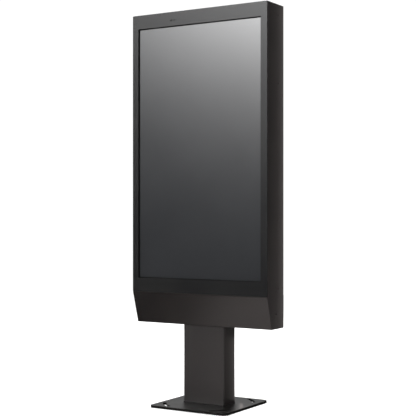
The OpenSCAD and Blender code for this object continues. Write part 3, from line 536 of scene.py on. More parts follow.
def looseBoxes(node):  # the box of each separate solid of a node
    source = frame["nodes"][node]
    firstAt, parent = {}, []
    for index, vertex in enumerate(source.data.vertices):  # points at one place are one point
        parent.append(firstAt.setdefault(tuple(round(c, 6) for c in vertex.co), index))

    def root(index):
        while parent[index] != index:
            index = parent[index]
        return index

    for face in source.data.polygons:
        first = root(face.vertices[0])
        for corner in face.vertices[1:]:
            parent[root(corner)] = first
    groups = {}
    for index, vertex in enumerate(source.data.vertices):
        groups.setdefault(root(index), []).append(vertex.co)
    boxes = [(Vector(map(min, zip(*points))), Vector(map(max, zip(*points)))) for points in groups.values()]
    return sorted(boxes, key=lambda b: (round(b[0].z, 4), round(b[0].x, 4)))


def screwsFor(node, settings, outwards, name):  # a screw in each solid's box, its head on the outward side
    pieces = []
    for low, high in looseBoxes(node):
        middle = (low + high) / 2
        out = Vector(outwards(middle))
        reach = abs((high - low).dot(out))
        seat = middle + out * (reach / 2 - settings["height"])
        if not pieces:
            pattern = makeScrew(settings, reach - settings["height"])
        pieces.append(copyAt(pattern, seat, out.to_track_quat("Z", "Y").to_matrix().to_4x4()))
    bpy.data.objects.remove(pattern)
    whole = joined(pieces, name)
    bakePlace(whole)
    return fit(whole, [node], blackOxide)


screwsFor("side_screws", sideScrew, lambda at: (math.copysign(1, at.x), 0, 0), "SideScrews")
screwsFor("rear_cover_screws", coverScrew, lambda at: (0, 1, 0), "RearCoverScrews")
carry("chin_screws", 0.25 * mm, dullOxide, 2, "ChinScrews", 50)
print("screws made")


carry("cover_glass", 0.8 * mm, coverGlass, 3)
carry("touch_film", 0.1 * mm, sensorFilm, 1)
carry("lcd_cell", 0.2 * mm, panelFilm, 1, "LiquidCrystalCell")
carry("diffuser_plate", 0.2 * mm, opalAcrylic, 1)
carry("led_bars", 0.2 * mm, whiteResist, 1, "LightBars")
carry("backlight_tray", 0.4 * mm, aluminiumSheet)
carry("heat_sink", 0.3 * mm, extrudedAluminium, 1)
carry("sensor_board", 0.2 * mm, boardGreen, 1)
carry("sensor_windows", 0.3 * mm, smokedAcrylic)
carry("glass_gasket", 0.8 * mm, foam, 3)
print("display made")


def off(corner, x=0, y=0, z=0):  # the place this many millimetres from a corner
    return corner + Vector((x, y, z)) * mm


def block(low, high, edge, material, segments=2):
    piece = startBox(low, high, "Block")
    roundEdges(piece, edge, segments)
    return wear(piece, material)


def post(start, end, radius, edge, material, sides=28):
    piece = startRod(start, end, radius, "Post", sides)
    roundEdges(piece, edge, 2, 50)
    return wear(piece, material)


def slotted(start, end, radius, material):  # a screw head with a slot across it, which faces +Y
    screw = post(start, end, radius, 0.3 * mm, material, 20)
    cutWith(screw, startBox((start[0] - radius, end[1] - 0.8 * mm, start[2] - 0.4 * mm),
                            (start[0] + radius, end[1] + 1 * mm, start[2] + 0.4 * mm), "Slot"))
    return screw


def gridOf(template, xs=(0,), zs=(0,)):  # the piece at the first x and z, and a copy at each other pair of them
    return [template] + [copyAt(template, (x - xs[0], 0, z - zs[0]))
                         for x in xs for z in zs if (x, z) != (xs[0], zs[0])]


def cutGrid(piece, cutter, xs=(0,), zs=(0,)):  # takes the cutter's shape out at every pair of places
    cutWith(piece, joined(gridOf(cutter, xs, zs), "Cutter"))


def gridCut(piece, axis, places):  # cuts all the way round the piece at these places along the axis
    selectOnly(piece)
    bpy.ops.object.mode_set(mode="EDIT")
    for place in places:
        bpy.ops.mesh.select_all(action="SELECT")
        bpy.ops.mesh.bisect(plane_co=Vector(axis) * place, plane_no=axis)
    leaveEdit()


def steps(start, end, count):
    return [start + (end - start) * i / count for i in range(count + 1)]


def inField(low, high, axis, slack=0.05 * mm):  # faces that look along the axis and lie within the field
    look = facing(axis)
    return lambda face: look(face) and all(low[i] - slack < face.center[i] < high[i] + slack for i in range(3))


def sinkCells(piece, low, high, axis, margin, depth):  # each cell of the field becomes a hole with this depth
    selectFaces(piece, inField(low, high, axis))
    bpy.ops.mesh.inset(thickness=margin, use_individual=True)
    bpy.ops.mesh.inset(thickness=0.02 * mm, depth=-depth, use_individual=True)
    leaveEdit()


# Power supply: a folded case with a perforated lid, a terminal strip under its edge and an adjuster
supply = {"edge": 0.8 * mm, "flange": 12 * mm, "holesAcross": 24, "holesUp": 11, "holeWall": 1.6 * mm,
          "holeDepth": 1.2 * mm, "terminals": 10, "stripWidth": 24 * mm, "stripDepth": 6 * mm, "adjuster": 3 * mm}
low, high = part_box("power_supply")
top, stripRight = high.y, high.x - supply["flange"]
stripLeft = stripRight - supply["stripWidth"]
shell = dressNode("power_supply", supply["edge"], 2, "PowerSupply")
fieldLow = Vector((low.x + supply["flange"] + 20 * mm, top - 1 * mm, low.z + 12 * mm))
fieldHigh = Vector((stripRight - 62 * mm, top + 1 * mm, high.z - 12 * mm))
gridCut(shell, (1, 0, 0), steps(fieldLow.x, fieldHigh.x, supply["holesAcross"]))
gridCut(shell, (0, 0, 1), steps(fieldLow.z, fieldHigh.z, supply["holesUp"]))
sinkCells(shell, fieldLow, fieldHigh, (0, 1, 0), supply["holeWall"], supply["holeDepth"])
wear(shell, caseSteel)
cutWith(shell, startBox((stripLeft, top - supply["stripDepth"], low.z + 8 * mm),
                        (stripRight, top + 1 * mm, high.z - 8 * mm), "Channel"))
rows = steps(low.z + 14 * mm, high.z - 14 * mm, supply["terminals"] - 1)
middleX = (stripLeft + stripRight) / 2
parts = [shell] + gridOf(slotted((middleX, top - 6.5 * mm, rows[0]), (middleX, top - 2 * mm, rows[0]),
                                 3.2 * mm, turnedBrass), zs=rows)
rows = steps(low.z + 8.6 * mm, high.z - 8.6 * mm, supply["terminals"])
parts += gridOf(block((stripLeft + 0.4 * mm, top - 5.9 * mm, rows[0] - 0.6 * mm),
                      (stripRight - 0.4 * mm, top - 0.4 * mm, rows[0] + 0.6 * mm), 0.2 * mm, chipEpoxy), zs=rows)
adjusterX = stripLeft - 12 * mm
parts.append(post((adjusterX, top - 1 * mm, high.z - 16 * mm), (adjusterX, top, high.z - 16 * mm),
                  supply["adjuster"], 0.2 * mm, orangePlastic))
fit(joined(parts, "PowerSupply"), ["power_supply"], None)

# Control board: green, on brass posts, with a finned processor, memory, capacitors, a plug header and sockets
board = {"stand": 6 * mm, "thick": 1.6 * mm, "corner": 3 * mm, "fins": 10, "capRadius": 5 * mm, "pins": 12,
         "memoryChips": 4, "sockets": 3, "smallParts": 7}
low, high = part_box("control_board")
x0, x1, z0, z1 = low.x, high.x, low.z, high.z
back = low.y + board["stand"]
face = back + board["thick"]
sheet = startBox((x0, back, z0), (x1, face, z1), "Sheet")


def throughSheet(edge):  # one of the four edges through its thickness
    a, b = (sheet.data.vertices[i].co for i in edge.vertices)
    return abs(a.y - b.y) > 0.5 * board["thick"]


pick(sheet, "EDGE", throughSheet)
bpy.ops.mesh.bevel(offset=board["corner"], segments=6, affect="EDGES")
leaveEdit()
smooth(sheet, 40)
cornerXs, cornerZs = (x0 + 6 * mm, x1 - 6 * mm), (z0 + 6 * mm, z1 - 6 * mm)
parts = [wear(sheet, boardGreen)]
parts += gridOf(post((cornerXs[0], low.y, cornerZs[0]), (cornerXs[0], back, cornerZs[0]), 3 * mm, 0.3 * mm,
                     turnedBrass, 6), cornerXs, cornerZs)
parts += gridOf(post((cornerXs[0], face, cornerZs[0]), (cornerXs[0], face + 2 * mm, cornerZs[0]), 2.8 * mm,
                     0.4 * mm, zincPlate), cornerXs, cornerZs)
origin, rear = Vector((x0, face, z0)), Vector((x0, back, z0))  # the board's lower left corner, before and behind
sinkLow, sinkHigh = off(origin, 40, 0, 90), off(rear, 90, 12, 140)
parts.append(block(sinkLow, off(sinkHigh, 0, -7), 0.3 * mm, extrudedAluminium))
finXs = steps(sinkLow.x + 1.5 * mm, sinkHigh.x - 1.5 * mm, board["fins"] - 1)
parts += gridOf(block((finXs[0] - 0.7 * mm, sinkLow.y + 3 * mm, sinkLow.z),
                      (finXs[0] + 0.7 * mm, sinkHigh.y, sinkHigh.z), 0.25 * mm, extrudedAluminium), finXs)
leg = {"reach": 1.6 * mm, "width": 0.7 * mm, "height": 0.9 * mm}


def chip(low, high, pins):  # a moulded package with two rows of tinned legs
    package = block(off(low, 0, 0.4), high, 0.35 * mm, chipEpoxy)
    zs = steps(low.z + 2 * mm, high.z - 2 * mm, pins - 1)
    legs = gridOf(block((low.x - leg["reach"], low.y, zs[0] - leg["width"] / 2),
                        (low.x, low.y + leg["height"], zs[0] + leg["width"] / 2), 0.12 * mm, zincPlate, 1),
                  (low.x, high.x + leg["reach"]), zs)
    return joined([package] + legs, "Chip")


parts.append(chip(off(origin, 120, 0, 100), off(origin, 150, 3.2, 130), 12))
lefts = [x0 + (108 + step * 24) * mm for step in range(board["memoryChips"])]
parts += gridOf(chip(off(origin, 108, 0, 148), off(origin, 120, 1.6, 170), 8), lefts)
canXs = [x1 - (42 - i * 14) * mm for i in range(2)]
canZs = [z0 + (26.5 + j * 13.5) * mm for j in range(3)]
can = post((canXs[0], face, canZs[0]), (canXs[0], back + 17.5 * mm, canZs[0]), board["capRadius"], 0.5 * mm,
           castCase)
selectFaces(can, lambda f: f.normal.y > 0.95 and f.area > 20 * mm * mm)
bpy.ops.mesh.inset(thickness=0.9 * mm)
bpy.ops.mesh.inset(thickness=0.2 * mm, depth=-0.4 * mm)
leaveEdit()
parts += gridOf(can, canXs, canZs)
header = block(off(origin, 20, 0, 4), off(rear, 80, 14, 22), 0.4 * mm, greenPlastic)
pinXs = steps(x0 + 24 * mm, x0 + 76 * mm, board["pins"] - 1)
cutGrid(header, startRod(off(rear, 24, 12, 8.5), off(rear, 24, 20, 8.5), 1.6 * mm, "Hole", 16), pinXs)
parts += [header] + gridOf(post(off(rear, 24, 11, 8.5), off(rear, 24, 12.6, 8.5), 1.4 * mm, 0.2 * mm, zincPlate, 16),
                           pinXs)
lefts = [x0 + (16 + step * 34) * mm for step in range(board["sockets"])]
start = Vector((lefts[0], face, z1))
socket = block(off(start, 0, 0, -24), off(start, 22, 9, -6), 0.4 * mm, whiteResist)
gridCut(socket, (1, 0, 0), steps(lefts[0] + 3 * mm, lefts[0] + 19 * mm, 4))
sinkCells(socket, off(start, 2, 0, -7), off(start, 20, 10, -5), (0, 0, 1), 0.6 * mm, 5 * mm)
parts += gridOf(socket, lefts)
lefts = [x0 + (110 + 9 * step) * mm for step in range(board["smallParts"])]
for z, finish in ((70, orangePlastic), (79, chipEpoxy)):  # a row of each kind
    parts += gridOf(block(off(origin, 110, 0, z), off(origin, 113.2, 1.2, z + 1.8), 0.25 * mm, finish, 1), lefts)
parts.append(post(off(origin, 66, 0, 56), off(origin, 66, 9, 56), 9 * mm, 1.2 * mm, chipEpoxy, 40))
fit(joined(parts, "ControlBoard"), ["control_board"], None)
print("power supply and board made")

# Media player: a cast case with cooling grooves, a row of sockets and two aerial posts
player = {"edge": 1.6 * mm, "flange": 14 * mm, "grooves": 15, "grooveWall": 2.2 * mm, "grooveDepth": 3 * mm,
          "sockets": ((20, 15, 13), (42, 15, 13), (64, 14, 6), (84, 14, 6), (104, 16, 5), (128, 9, 9))}
low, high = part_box("media_player")
caseLeft, caseRight, middleY = low.x + player["flange"], high.x - player["flange"], (low.y + high.y) / 2
case = dressNode("media_player", player["edge"], 3, "MediaPlayer")
grooveLow = Vector((caseLeft + 14 * mm, high.y - 0.5 * mm, low.z + 44 * mm))
grooveHigh = Vector((caseRight - 14 * mm, high.y + 0.5 * mm, high.z - 12 * mm))
gridCut(case, (1, 0, 0), steps(grooveLow.x, grooveHigh.x, player["grooves"]))
gridCut(case, (0, 0, 1), (grooveLow.z, grooveHigh.z))
sinkCells(case, grooveLow, grooveHigh, (0, 1, 0), player["grooveWall"], player["grooveDepth"])
wear(case, castCase)
parts = [case]
for left, width, tall in player["sockets"]:  # a socket's mouth, and the contact strip inside it
    left, right, half = caseLeft + left * mm, caseLeft + (left + width) * mm, tall / 2 * mm
    cutWith(case, startBox((left, middleY - half, low.z - 1 * mm), (right, middleY + half, low.z + 7 * mm), "Socket"))
    parts.append(block((left + 1.5 * mm, middleY - half + 2 * mm, low.z + 1.2 * mm),
                       (right - 1.5 * mm, middleY - half + 3.2 * mm, low.z + 6.8 * mm), 0.2 * mm, turnedBrass, 1))
aerialXs = (caseLeft + 30 * mm, caseRight - 30 * mm)
parts += gridOf(post((aerialXs[0], middleY, high.z - 1 * mm), (aerialXs[0], middleY, high.z), 4 * mm, 0.3 * mm,
                     turnedBrass, 6), aerialXs)
lampX = caseLeft + 26 * mm
parts.append(post((lampX, high.y - 1 * mm, low.z + 24 * mm), (lampX, high.y, low.z + 24 * mm), 1.6 * mm, 0.2 * mm,
                  greenPlastic, 20))
fit(joined(parts, "MediaPlayer"), ["media_player"], None)
carry("player_button", 0.6 * mm, buttonPlastic, 3)

# Breaker board: a steel back, a top-hat rail, a breaker, a surge arrester and five rail terminals
breaker = {"moduleLefts": (34, 72), "moduleWidth": 36 * mm, "moduleDepth": 14 * mm, "noseDepth": 19 * mm,
           "well": 6.6 * mm, "wellWidth": 14.8 * mm, "terminalPitch": 9, "terminalWidth": 8 * mm}
low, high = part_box("breaker_box")
parts = [block(low, (high.x, low.y + 3 * mm, high.z), 0.5 * mm, galvanised)]
rail = startBox(off(low, 10, 3, 102.5), (high.x - 10 * mm, low.y + 8 * mm, low.z + 137.5 * mm), "Rail")
selectFaces(rail, facing((0, 1, 0)))  # the rail's hat: a channel between two lips
bpy.ops.mesh.inset(thickness=5 * mm)
bpy.ops.mesh.inset(thickness=0.3 * mm, depth=-3.5 * mm)
leaveEdit()
roundEdges(rail, 0.3 * mm, 1)
parts.append(wear(rail, galvanised))
hinge = Vector(next(j for j in frame["joints"] if j["child"] == "toggle")["pos_m"])
lefts = [low.x + left * mm for left in breaker["moduleLefts"]]
right, front = lefts[0] + breaker["moduleWidth"], low.y + breaker["moduleDepth"]
base = block((lefts[0], low.y + 2 * mm, low.z + 80 * mm), (right, front, low.z + 165 * mm), 0.6 * mm, breakerPlastic)
screwXs, screwZs = (lefts[0] + 9 * mm, lefts[0] + 27 * mm), (low.z + 86 * mm, low.z + 159 * mm)
cutGrid(base, startRod((screwXs[0], front - 3 * mm, screwZs[0]), (screwXs[0], front + 2 * mm, screwZs[0]), 3.4 * mm,
                       "Hole", 20), screwXs, screwZs)
screws = gridOf(slotted((screwXs[0], front - 3.2 * mm, screwZs[0]), (screwXs[0], front - 1.6 * mm, screwZs[0]),
                        3 * mm, zincPlate), screwXs, screwZs)
base, arrester = gridOf(joined([base] + screws, "Module"), lefts)
bakePlace(arrester)
nose = block((lefts[0], low.y + 2 * mm, low.z + 100 * mm), (right, low.y + breaker["noseDepth"], low.z + 150 * mm),
             0.8 * mm, breakerPlastic)
well = startRod(hinge - Vector((breaker["wellWidth"] / 2, 0, 0)), hinge + Vector((breaker["wellWidth"] / 2, 0, 0)),
                breaker["well"], "Well", 40)
cutWith(base, copyAt(well, (0, 0, 0)))
cutWith(nose, well)
window = block((lefts[1] + 6 * mm, low.y + 2.4 * mm, low.z + 104 * mm),
               (lefts[1] + breaker["moduleWidth"] - 6 * mm, front + 0.4 * mm, low.z + 146 * mm), 0.6 * mm,
               orangePlastic)
parts += [base, arrester, nose, window]
left = low.x + 112 * mm
terminal = block((left, low.y + 2 * mm, low.z + 85 * mm),
                 (left + breaker["terminalWidth"], low.y + 10 * mm, low.z + 155 * mm), 0.5 * mm, breakerPlastic)
middleX, screwZs = left + breaker["terminalWidth"] / 2, (low.z + 92 * mm, low.z + 148 * mm)
cutGrid(terminal, startRod((middleX, low.y + 8 * mm, screwZs[0]), (middleX, low.y + 12 * mm, screwZs[0]), 2.2 * mm,
                           "Hole", 16), zs=screwZs)
screws = gridOf(post((middleX, low.y + 7.6 * mm, screwZs[0]), (middleX, low.y + 8.8 * mm, screwZs[0]), 2 * mm,
                     0.2 * mm, turnedBrass, 16), zs=screwZs)
terminalFinishes = (breakerPlastic, togglePlastic, breakerPlastic, greenPlastic, greenPlastic)
terminals = gridOf(joined([terminal] + screws, "Terminal"),
                   [step * breaker["terminalPitch"] * mm for step in range(len(terminalFinishes))])
for terminal, finish in zip(terminals, terminalFinishes):
    terminal.data.materials[0] = finish
parts += terminals
cornerXs, cornerZs = (low.x + 12 * mm, high.x - 12 * mm), (low.z + 12 * mm, high.z - 12 * mm)
parts += gridOf(post((cornerXs[0], low.y + 3 * mm, cornerZs[0]), (cornerXs[0], low.y + 5.4 * mm, cornerZs[0]), 4 * mm,
                     0.6 * mm, zincPlate), cornerXs, cornerZs)
fit(joined(parts, "BreakerBoard"), ["breaker_box"], None)
carry("breaker_toggle", 0.7 * mm, togglePlastic, 3)
print("player and breakers made")

# Power leads: sheathed cables with rounded bends, a gland nut at each end and white ties along them
leads = {"radius": 3.5 * mm, "bend": 16 * mm, "tieEvery": 110 * mm, "nut": 3.5 * mm, "band": 2.8}


def roundedRoute(points, radius, count=8):  # the points of a line whose corners are arcs
    route = [Vector(points[0])]
    for before, corner, after in zip(points, points[1:], points[2:]):
        before, corner, after = Vector(before), Vector(corner), Vector(after)
        come, leave = (corner - before).normalized(), (after - corner).normalized()
        middle = corner - come * radius + leave * radius
        for step in range(count + 1):
            turn = math.pi / 2 * step / count
            route.append(middle - leave * radius * math.cos(turn) + come * radius * math.sin(turn))
    return route + [Vector(points[-1])]


def makeLead(points):
    curve = bpy.data.curves.new("Lead", "CURVE")
    curve.dimensions, curve.bevel_depth, curve.bevel_resolution = "3D", leads["radius"], 6
    route = roundedRoute(points, leads["bend"])
    spline = curve.splines.new("POLY")
    spline.points.add(len(route) - 1)
    for point, place in zip(spline.points, route):
        point.co = (*place, 1)
    lead = bpy.data.objects.new("Lead", curve)
    bpy.context.scene.collection.objects.link(lead)
    curve.use_fill_caps = True
    selectOnly(lead)
    bpy.ops.object.convert(target="MESH")
    lead = bpy.context.view_layer.objects.active
    smooth(lead, 50)
    return wear(lead, cableSheath)


def makeTie():  # round a lead that runs along Z, at the origin, with its lock on the +Y side
    bpy.ops.object.select_all(action="DESELECT")
    bpy.ops.mesh.primitive_torus_add(major_radius=leads["radius"] + 0.2 * mm, minor_radius=0.5 * mm,
                                     major_segments=28, minor_segments=8)
    band = bpy.context.view_layer.objects.active
    bpy.ops.object.mode_set(mode="EDIT")
    bpy.ops.mesh.select_all(action="SELECT")
    bpy.ops.transform.resize(value=(1, 1, leads["band"]))  # a flat band, not a round ring
    leaveEdit()
    smooth(band)
    lockY = leads["radius"] + 0.6 * mm
    lock = block((-1.6 * mm, lockY - 0.8 * mm, -1.6 * mm), (1.6 * mm, lockY + 1.4 * mm, 1.6 * mm), 0.3 * mm, tieNylon)
    return joined([wear(band, tieNylon), lock], "Tie")


nut = post((0, 0, 0), (0, 0, 5 * mm), leads["nut"], 0.4 * mm, togglePlastic, 6)
collar = post((0, 0, 5 * mm), (0, 0, 9 * mm), leads["radius"] + 0.6 * mm, 0.5 * mm, togglePlastic)
gland, tie = joined([nut, collar], "Gland"), makeTie()


def turnTo(along):  # turns Z to this direction, which has no depth
    return Matrix.Rotation(math.atan2(along.x, along.z), 4, "Y")


def leadWithFittings(points):
    pieces = [makeLead(points)]
    for end, inner in ((points[0], points[1]), (points[-1], points[-2])):
        pieces.append(copyAt(gland, end, turnTo(Vector(inner) - Vector(end))))
    for start, end in zip(points, points[1:]):
        run = Vector(end) - Vector(start)
        for step in range(1, int(run.length / leads["tieEvery"]) + 1):
            share = step * leads["tieEvery"] / (run.length + leads["tieEvery"] * 0.6)
            pieces.append(copyAt(tie, Vector(start) + run * share, turnTo(run)))
    return pieces


supplyLow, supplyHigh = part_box("power_supply")
playerLow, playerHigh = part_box("media_player")
leadY, lineX = supplyLow.y + leads["radius"], -26 * mm
leftX, middleX = supplyLow.x + 82 * mm, playerLow.x + 74 * mm
topZ, lowZ = supplyHigh.z - 12 * mm, playerLow.z + 14 * mm
pieces = leadWithFittings([(leftX, leadY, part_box("breaker_box")[1].z), (leftX, leadY, supplyLow.z)])
pieces += leadWithFittings([(supplyHigh.x - 12 * mm, leadY, topZ), (lineX, leadY, topZ), (lineX, leadY, lowZ),
                            (playerLow.x + 14 * mm, leadY, lowZ)])
pieces += leadWithFittings([(middleX, leadY, playerHigh.z), (middleX, leadY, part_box("control_board")[0].z)])
fit(joined(pieces, "PowerLeads"), ["power_harness"], None)
bpy.data.objects.remove(gland)
bpy.data.objects.remove(tie)

# Fans: a square frame, and a rotor with seven twisted blades round a capped hub
fan = {"blades": 7, "hub": 21 * mm, "tip": 64.3 * mm, "chord": 29 * mm, "thick": 2.2 * mm, "lean": 36,
       "camber": -22, "twist": 18}


def makeRotor(y0, y1):  # built round the Y axis, at the origin
    hub = startRod((0, y0, 0), (0, y1 - 1.2 * mm, 0), fan["hub"], "Hub", 64)
    selectFaces(hub, facing((0, 1, 0)))
    bpy.ops.mesh.inset(thickness=1.6 * mm, depth=1.2 * mm)
    bpy.ops.mesh.inset(thickness=4 * mm)
    bpy.ops.mesh.inset(thickness=0.6 * mm, depth=-0.6 * mm)
    leaveEdit()
    cutWith(hub, startRod((0, y0 - 1 * mm, 0), (0, y1 - 7 * mm, 0), fan["axle"], "Axle", 40))
    roundEdges(hub, 0.3 * mm, 2, 50)
    blade = startBox((fan["hub"] - 2 * mm, -fan["thick"] / 2, -fan["chord"] / 2),
                     (fan["tip"] + 3 * mm, fan["thick"] / 2, fan["chord"] / 2), "Blade")
    gridCut(blade, (1, 0, 0), steps(fan["hub"], fan["tip"], 10))
    gridCut(blade, (0, 0, 1), steps(-fan["chord"] / 2 + 1 * mm, fan["chord"] / 2 - 1 * mm, 8))
    for method, turn in (("BEND", fan["camber"]), ("TWIST", fan["twist"])):
        applyModifier(blade, "SIMPLE_DEFORM", deform_method=method, deform_axis="X", angle=math.radians(turn))
    middle = (y0 + y1) / 2
    turned = copyAt(blade, (0, middle, 0), Matrix.Rotation(math.radians(fan["lean"]), 4, "X"))
    bpy.data.objects.remove(blade)
    bakePlace(turned)
    cutWith(turned, startRod((0, y0 + 1 * mm, 0), (0, y1 - 1 * mm, 0), fan["tip"], "Tip", 96), "INTERSECT")
    roundEdges(turned, 0.25 * mm, 1, 40)
    pieces = [hub]
    for step in range(fan["blades"]):
        copy = copyAt(turned, (0, 0, 0), Matrix.Rotation(2 * math.pi * step / fan["blades"], 4, "Y"))
        bakePlace(copy)
        pieces.append(copy)
    bpy.data.objects.remove(turned)
    return joined(pieces, "Rotor")


rotorLow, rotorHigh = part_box("fan_rotor_left")
fan["axle"] = (rotorHigh.y - rotorLow.y) * 0.2
rotor = makeRotor(rotorLow.y, rotorHigh.y)
for side in ("left", "right"):
    low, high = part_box("fan_rotor_" + side)
    middle = (low + high) / 2
    turning = copyAt(rotor, (middle.x, 0, middle.z))
    bakePlace(turning)
    turning.name = turning.data.name = "FanRotor" + side.title()
    fit(turning, ["fan_rotor_" + side], fanPlastic)
    carry("fan_frame_" + side, 0.6 * mm, fanPlastic)
bpy.data.objects.remove(rotor)
print("leads and fans made")


carry("rear_door", 0.7 * mm, powderCoat)
carry("intake_grille", 0.3 * mm, powderCoat, 1)
carry("exhaust_grille", 0.3 * mm, powderCoat, 1)
carry("door_gasket", 0.9 * mm, rubber, 3)
carry("filter_holder", 0.3 * mm, galvanised, 1)
carry("hinge_seats", 0.6 * mm, hingeSteel)
carry("hinge_pins", 0.4 * mm, pinSteel)
carry("hinge_knuckles", 0.6 * mm, hingeSteel)
for level in ("upper", "lower"):
    carry("lock_body_" + level, 0.5 * mm, brightChrome, 2, "LockBarrel" + level.title())
    carry("lock_core_" + level, 0.4 * mm, brightChrome, 2, "LockPlug" + level.title())

# Air filter: pleated fleece in a folded metal frame with two wires across its face
filterPiece = {"rim": 8 * mm, "pleats": 60, "pleatDepth": 2.2 * mm, "wall": 0.5 * mm}
low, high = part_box("air_filter")
rimFrame = startBox(low, high, "FilterFrame")
selectFaces(rimFrame, lambda face: abs(face.normal.y) > 0.9)
bpy.ops.mesh.inset(thickness=filterPiece["rim"], use_individual=True)
bpy.ops.mesh.bridge_edge_loops()
leaveEdit()
roundEdges(rimFrame, 0.6 * mm, 2)
wear(rimFrame, galvanised)
inLow = Vector((low.x + filterPiece["rim"] - 1 * mm, 0, low.z + filterPiece["rim"] - 1 * mm))
inHigh = Vector((high.x - filterPiece["rim"] + 1 * mm, 0, high.z - filterPiece["rim"] + 1 * mm))
middle = (low + high) / 2
bpy.ops.object.select_all(action="DESELECT")
bpy.ops.mesh.primitive_grid_add(x_subdivisions=filterPiece["pleats"] * 2, y_subdivisions=2, size=1, location=middle,
                                rotation=(math.pi / 2, 0, 0))
pleats = bpy.context.view_layer.objects.active
pleats.scale = (inHigh.x - inLow.x, inHigh.z - inLow.z, 1)
bakePlace(pleats)
columns = sorted({round(v.co.x, 5) for v in pleats.data.vertices})
pick(pleats, "VERT", lambda v: columns.index(round(v.co.x, 5)) % 2 == 0)  # every other fold line comes forward
bpy.ops.transform.translate(value=(0, filterPiece["pleatDepth"] * 2, 0))
bpy.ops.mesh.select_all(action="SELECT")
bpy.ops.transform.translate(value=(0, -filterPiece["pleatDepth"], 0))
leaveEdit()
applyModifier(pleats, "SOLIDIFY", thickness=filterPiece["wall"], offset=0)
roundEdges(pleats, 0.12 * mm, 1, 25)
wear(pleats, fleece)
wireY, wireZs = high.y - 1.2 * mm, steps(low.z, high.z, 3)[1:3]
wires = gridOf(post((inLow.x, wireY, wireZs[0]), (inHigh.x, wireY, wireZs[0]), 0.8 * mm, 0.1 * mm, zincPlate, 12),
               zs=wireZs)
fit(joined([rimFrame, pleats] + wires, "AirFilter"), ["air_filter"], None)
print("door made")


bpy.ops.object.select_all(action="DESELECT")
bpy.ops.mesh.primitive_plane_add(size=24)
floor = bpy.context.view_layer.objects.active
floor.name = "Floor"
floorPaper, tree, shader, place = newFinish("WhiteStudioPaper", Roughness=1.0, Specular_IOR_Level=0.0)
driftColor(tree, shader, place, ("#fdfdfd", "#fefefe"), 0.6)
wear(floor, floorPaper)
floor.visible_glossy = False


def directionOf(turn, rise):  # turn from the front, to the right of someone who faces the kiosk; both in degrees
    turn, rise = math.radians(turn), math.radians(rise)
    return Vector((math.sin(turn) * math.cos(rise), -math.cos(turn) * math.cos(rise), math.sin(rise)))


def addLamp(name, target, turn, rise, distance, size, power):
    away = directionOf(turn, rise)
    light = bpy.data.lights.new(name, "AREA")
    light.shape, light.size, light.energy, light.color = "DISK", size, power, (1, 1, 1)
    lamp = bpy.data.objects.new(name, light)
    bpy.context.scene.collection.objects.link(lamp)
    lamp.location = Vector(target) + away * distance
    lamp.rotation_euler = away.to_track_quat("Z", "Y").to_euler()
    lamp.visible_camera = False


def addCard(name, low, high, strength, tint):  # a lit card that only shows in reflections
    card = startBox(low, high, name)
    glow = bpy.data.materials.new(name)
    glow.use_nodes = True
    shader = addNode(glow.node_tree, "ShaderNodeEmission", values={"Color": hexColor(tint), "Strength": strength})
    glow.node_tree.links.new(shader.outputs[0], glow.node_tree.nodes["Material Output"].inputs["Surface"])
    wear(card, glow)
    card.visible_camera = card.visible_diffuse = card.visible_shadow = False
    card.visible_transmission = card.visible_volume_scatter = False


# Each card's two corners, brightness and tint
cards = {"SideCard": ((0.387, 0.11, 0.35), (0.41, 0.113, 2.0), 2.3, "#fff5f2"),
         "ColumnCard": ((0.124, 0.08, 0.02), (0.14, 0.083, 0.33), 2.2, "#fff5f2"),
         "BackFloorCard": ((-4, 0.8, 0.0), (4, 5, 0.002), 0.25, "#fff6f3"),
         "NearFloorCard": ((-0.4, -1.3, 0.0), (1.6, -0.42, 0.002), 3.0, "#fff6f3"),
         "FarFloorCard": ((-2.6, -3.6, 0.0), (0.6, -1.5, 0.002), 0.5, "#fff6f3")}
for name, settings in cards.items():
    addCard(name, *settings)
addLamp("BackLamp", (0, 0, 1.2), -150, 35, 3.5, 1.6, 170)
addLamp("TopLamp", (0, 0, 0.5), 10, 80, 5, 4, 120)

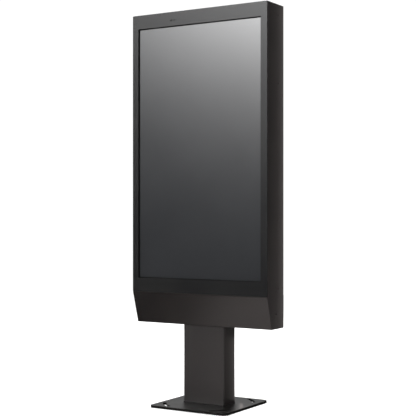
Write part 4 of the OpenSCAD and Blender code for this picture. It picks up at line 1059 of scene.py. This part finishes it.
# What reflections see all round: soft glows over a dark room, each with its direction, brightness and tightness
glows = {"front softbox": (directionOf(-24.5, 23.7), 84, 58.3), "back left wall": (directionOf(-150, 8), 0.8, 9),
         "right wall": (directionOf(88, 6), 3.0, 13), "left wall": (directionOf(-95, 6), 3.0, 13),
         "ceiling": (Vector((0, 0, 1)), 0.5, 4)}
roomFloor, roomLight = 0.03, 1.06  # the dimmest thing reflections see, and what lights the rest

world = bpy.data.worlds.new("StudioRoom")
bpy.context.scene.world = world
world.use_nodes = True
world.cycles.sampling_method = "NONE"  # so that reflections see only the glows
tree = world.node_tree
heading = addNode(tree, "ShaderNodeTexCoord").outputs["Generated"]
total = None


def reckon(operation, first, second=0.0):  # a math node of one output and a number or another output
    linked = {1: second} if isinstance(second, bpy.types.NodeSocket) else {}
    return addNode(tree, "ShaderNodeMath", {"operation": operation}, {} if linked else {1: second},
                   {0: first, **linked}).outputs[0]


for direction, strength, tightness in glows.values():
    dot = addNode(tree, "ShaderNodeVectorMath", {"operation": "DOT_PRODUCT"}, {1: direction}, {0: heading})
    away = reckon("MULTIPLY", reckon("SUBTRACT", dot.outputs["Value"], 1.0), tightness)
    glow = reckon("MULTIPLY", reckon("EXPONENT", away), strength)
    total = reckon("ADD", glow, roomFloor if total is None else total)
mirrored = addNode(tree, "ShaderNodeBackground", links={"Strength": total})
around = addNode(tree, "ShaderNodeBackground", values={"Color": hexColor("#ffffff"), "Strength": roomLight})
lightPath = addNode(tree, "ShaderNodeLightPath")
choice = addNode(tree, "ShaderNodeMixShader", links={0: lightPath.outputs["Is Glossy Ray"], 1: around.outputs[0],
                                                     2: mirrored.outputs[0]})
tree.links.new(choice.outputs[0], tree.nodes["World Output"].inputs["Surface"])

lens = bpy.data.cameras.new("Camera")
camera = bpy.data.objects.new("Camera", lens)
bpy.context.scene.collection.objects.link(camera)
view = {"place": (2.671, -4.376, 0.942), "turn": 31.47, "lens": 90.67, "sensor": 36, "shift": 0.0105}
camera.location = view["place"]
camera.rotation_euler = (math.radians(90), 0, math.radians(view["turn"]))
lens.lens, lens.sensor_width, lens.shift_y = view["lens"], view["sensor"], view["shift"]
bpy.context.scene.camera = camera
bpy.context.scene.view_settings.view_transform = "Standard"
print("stage set")
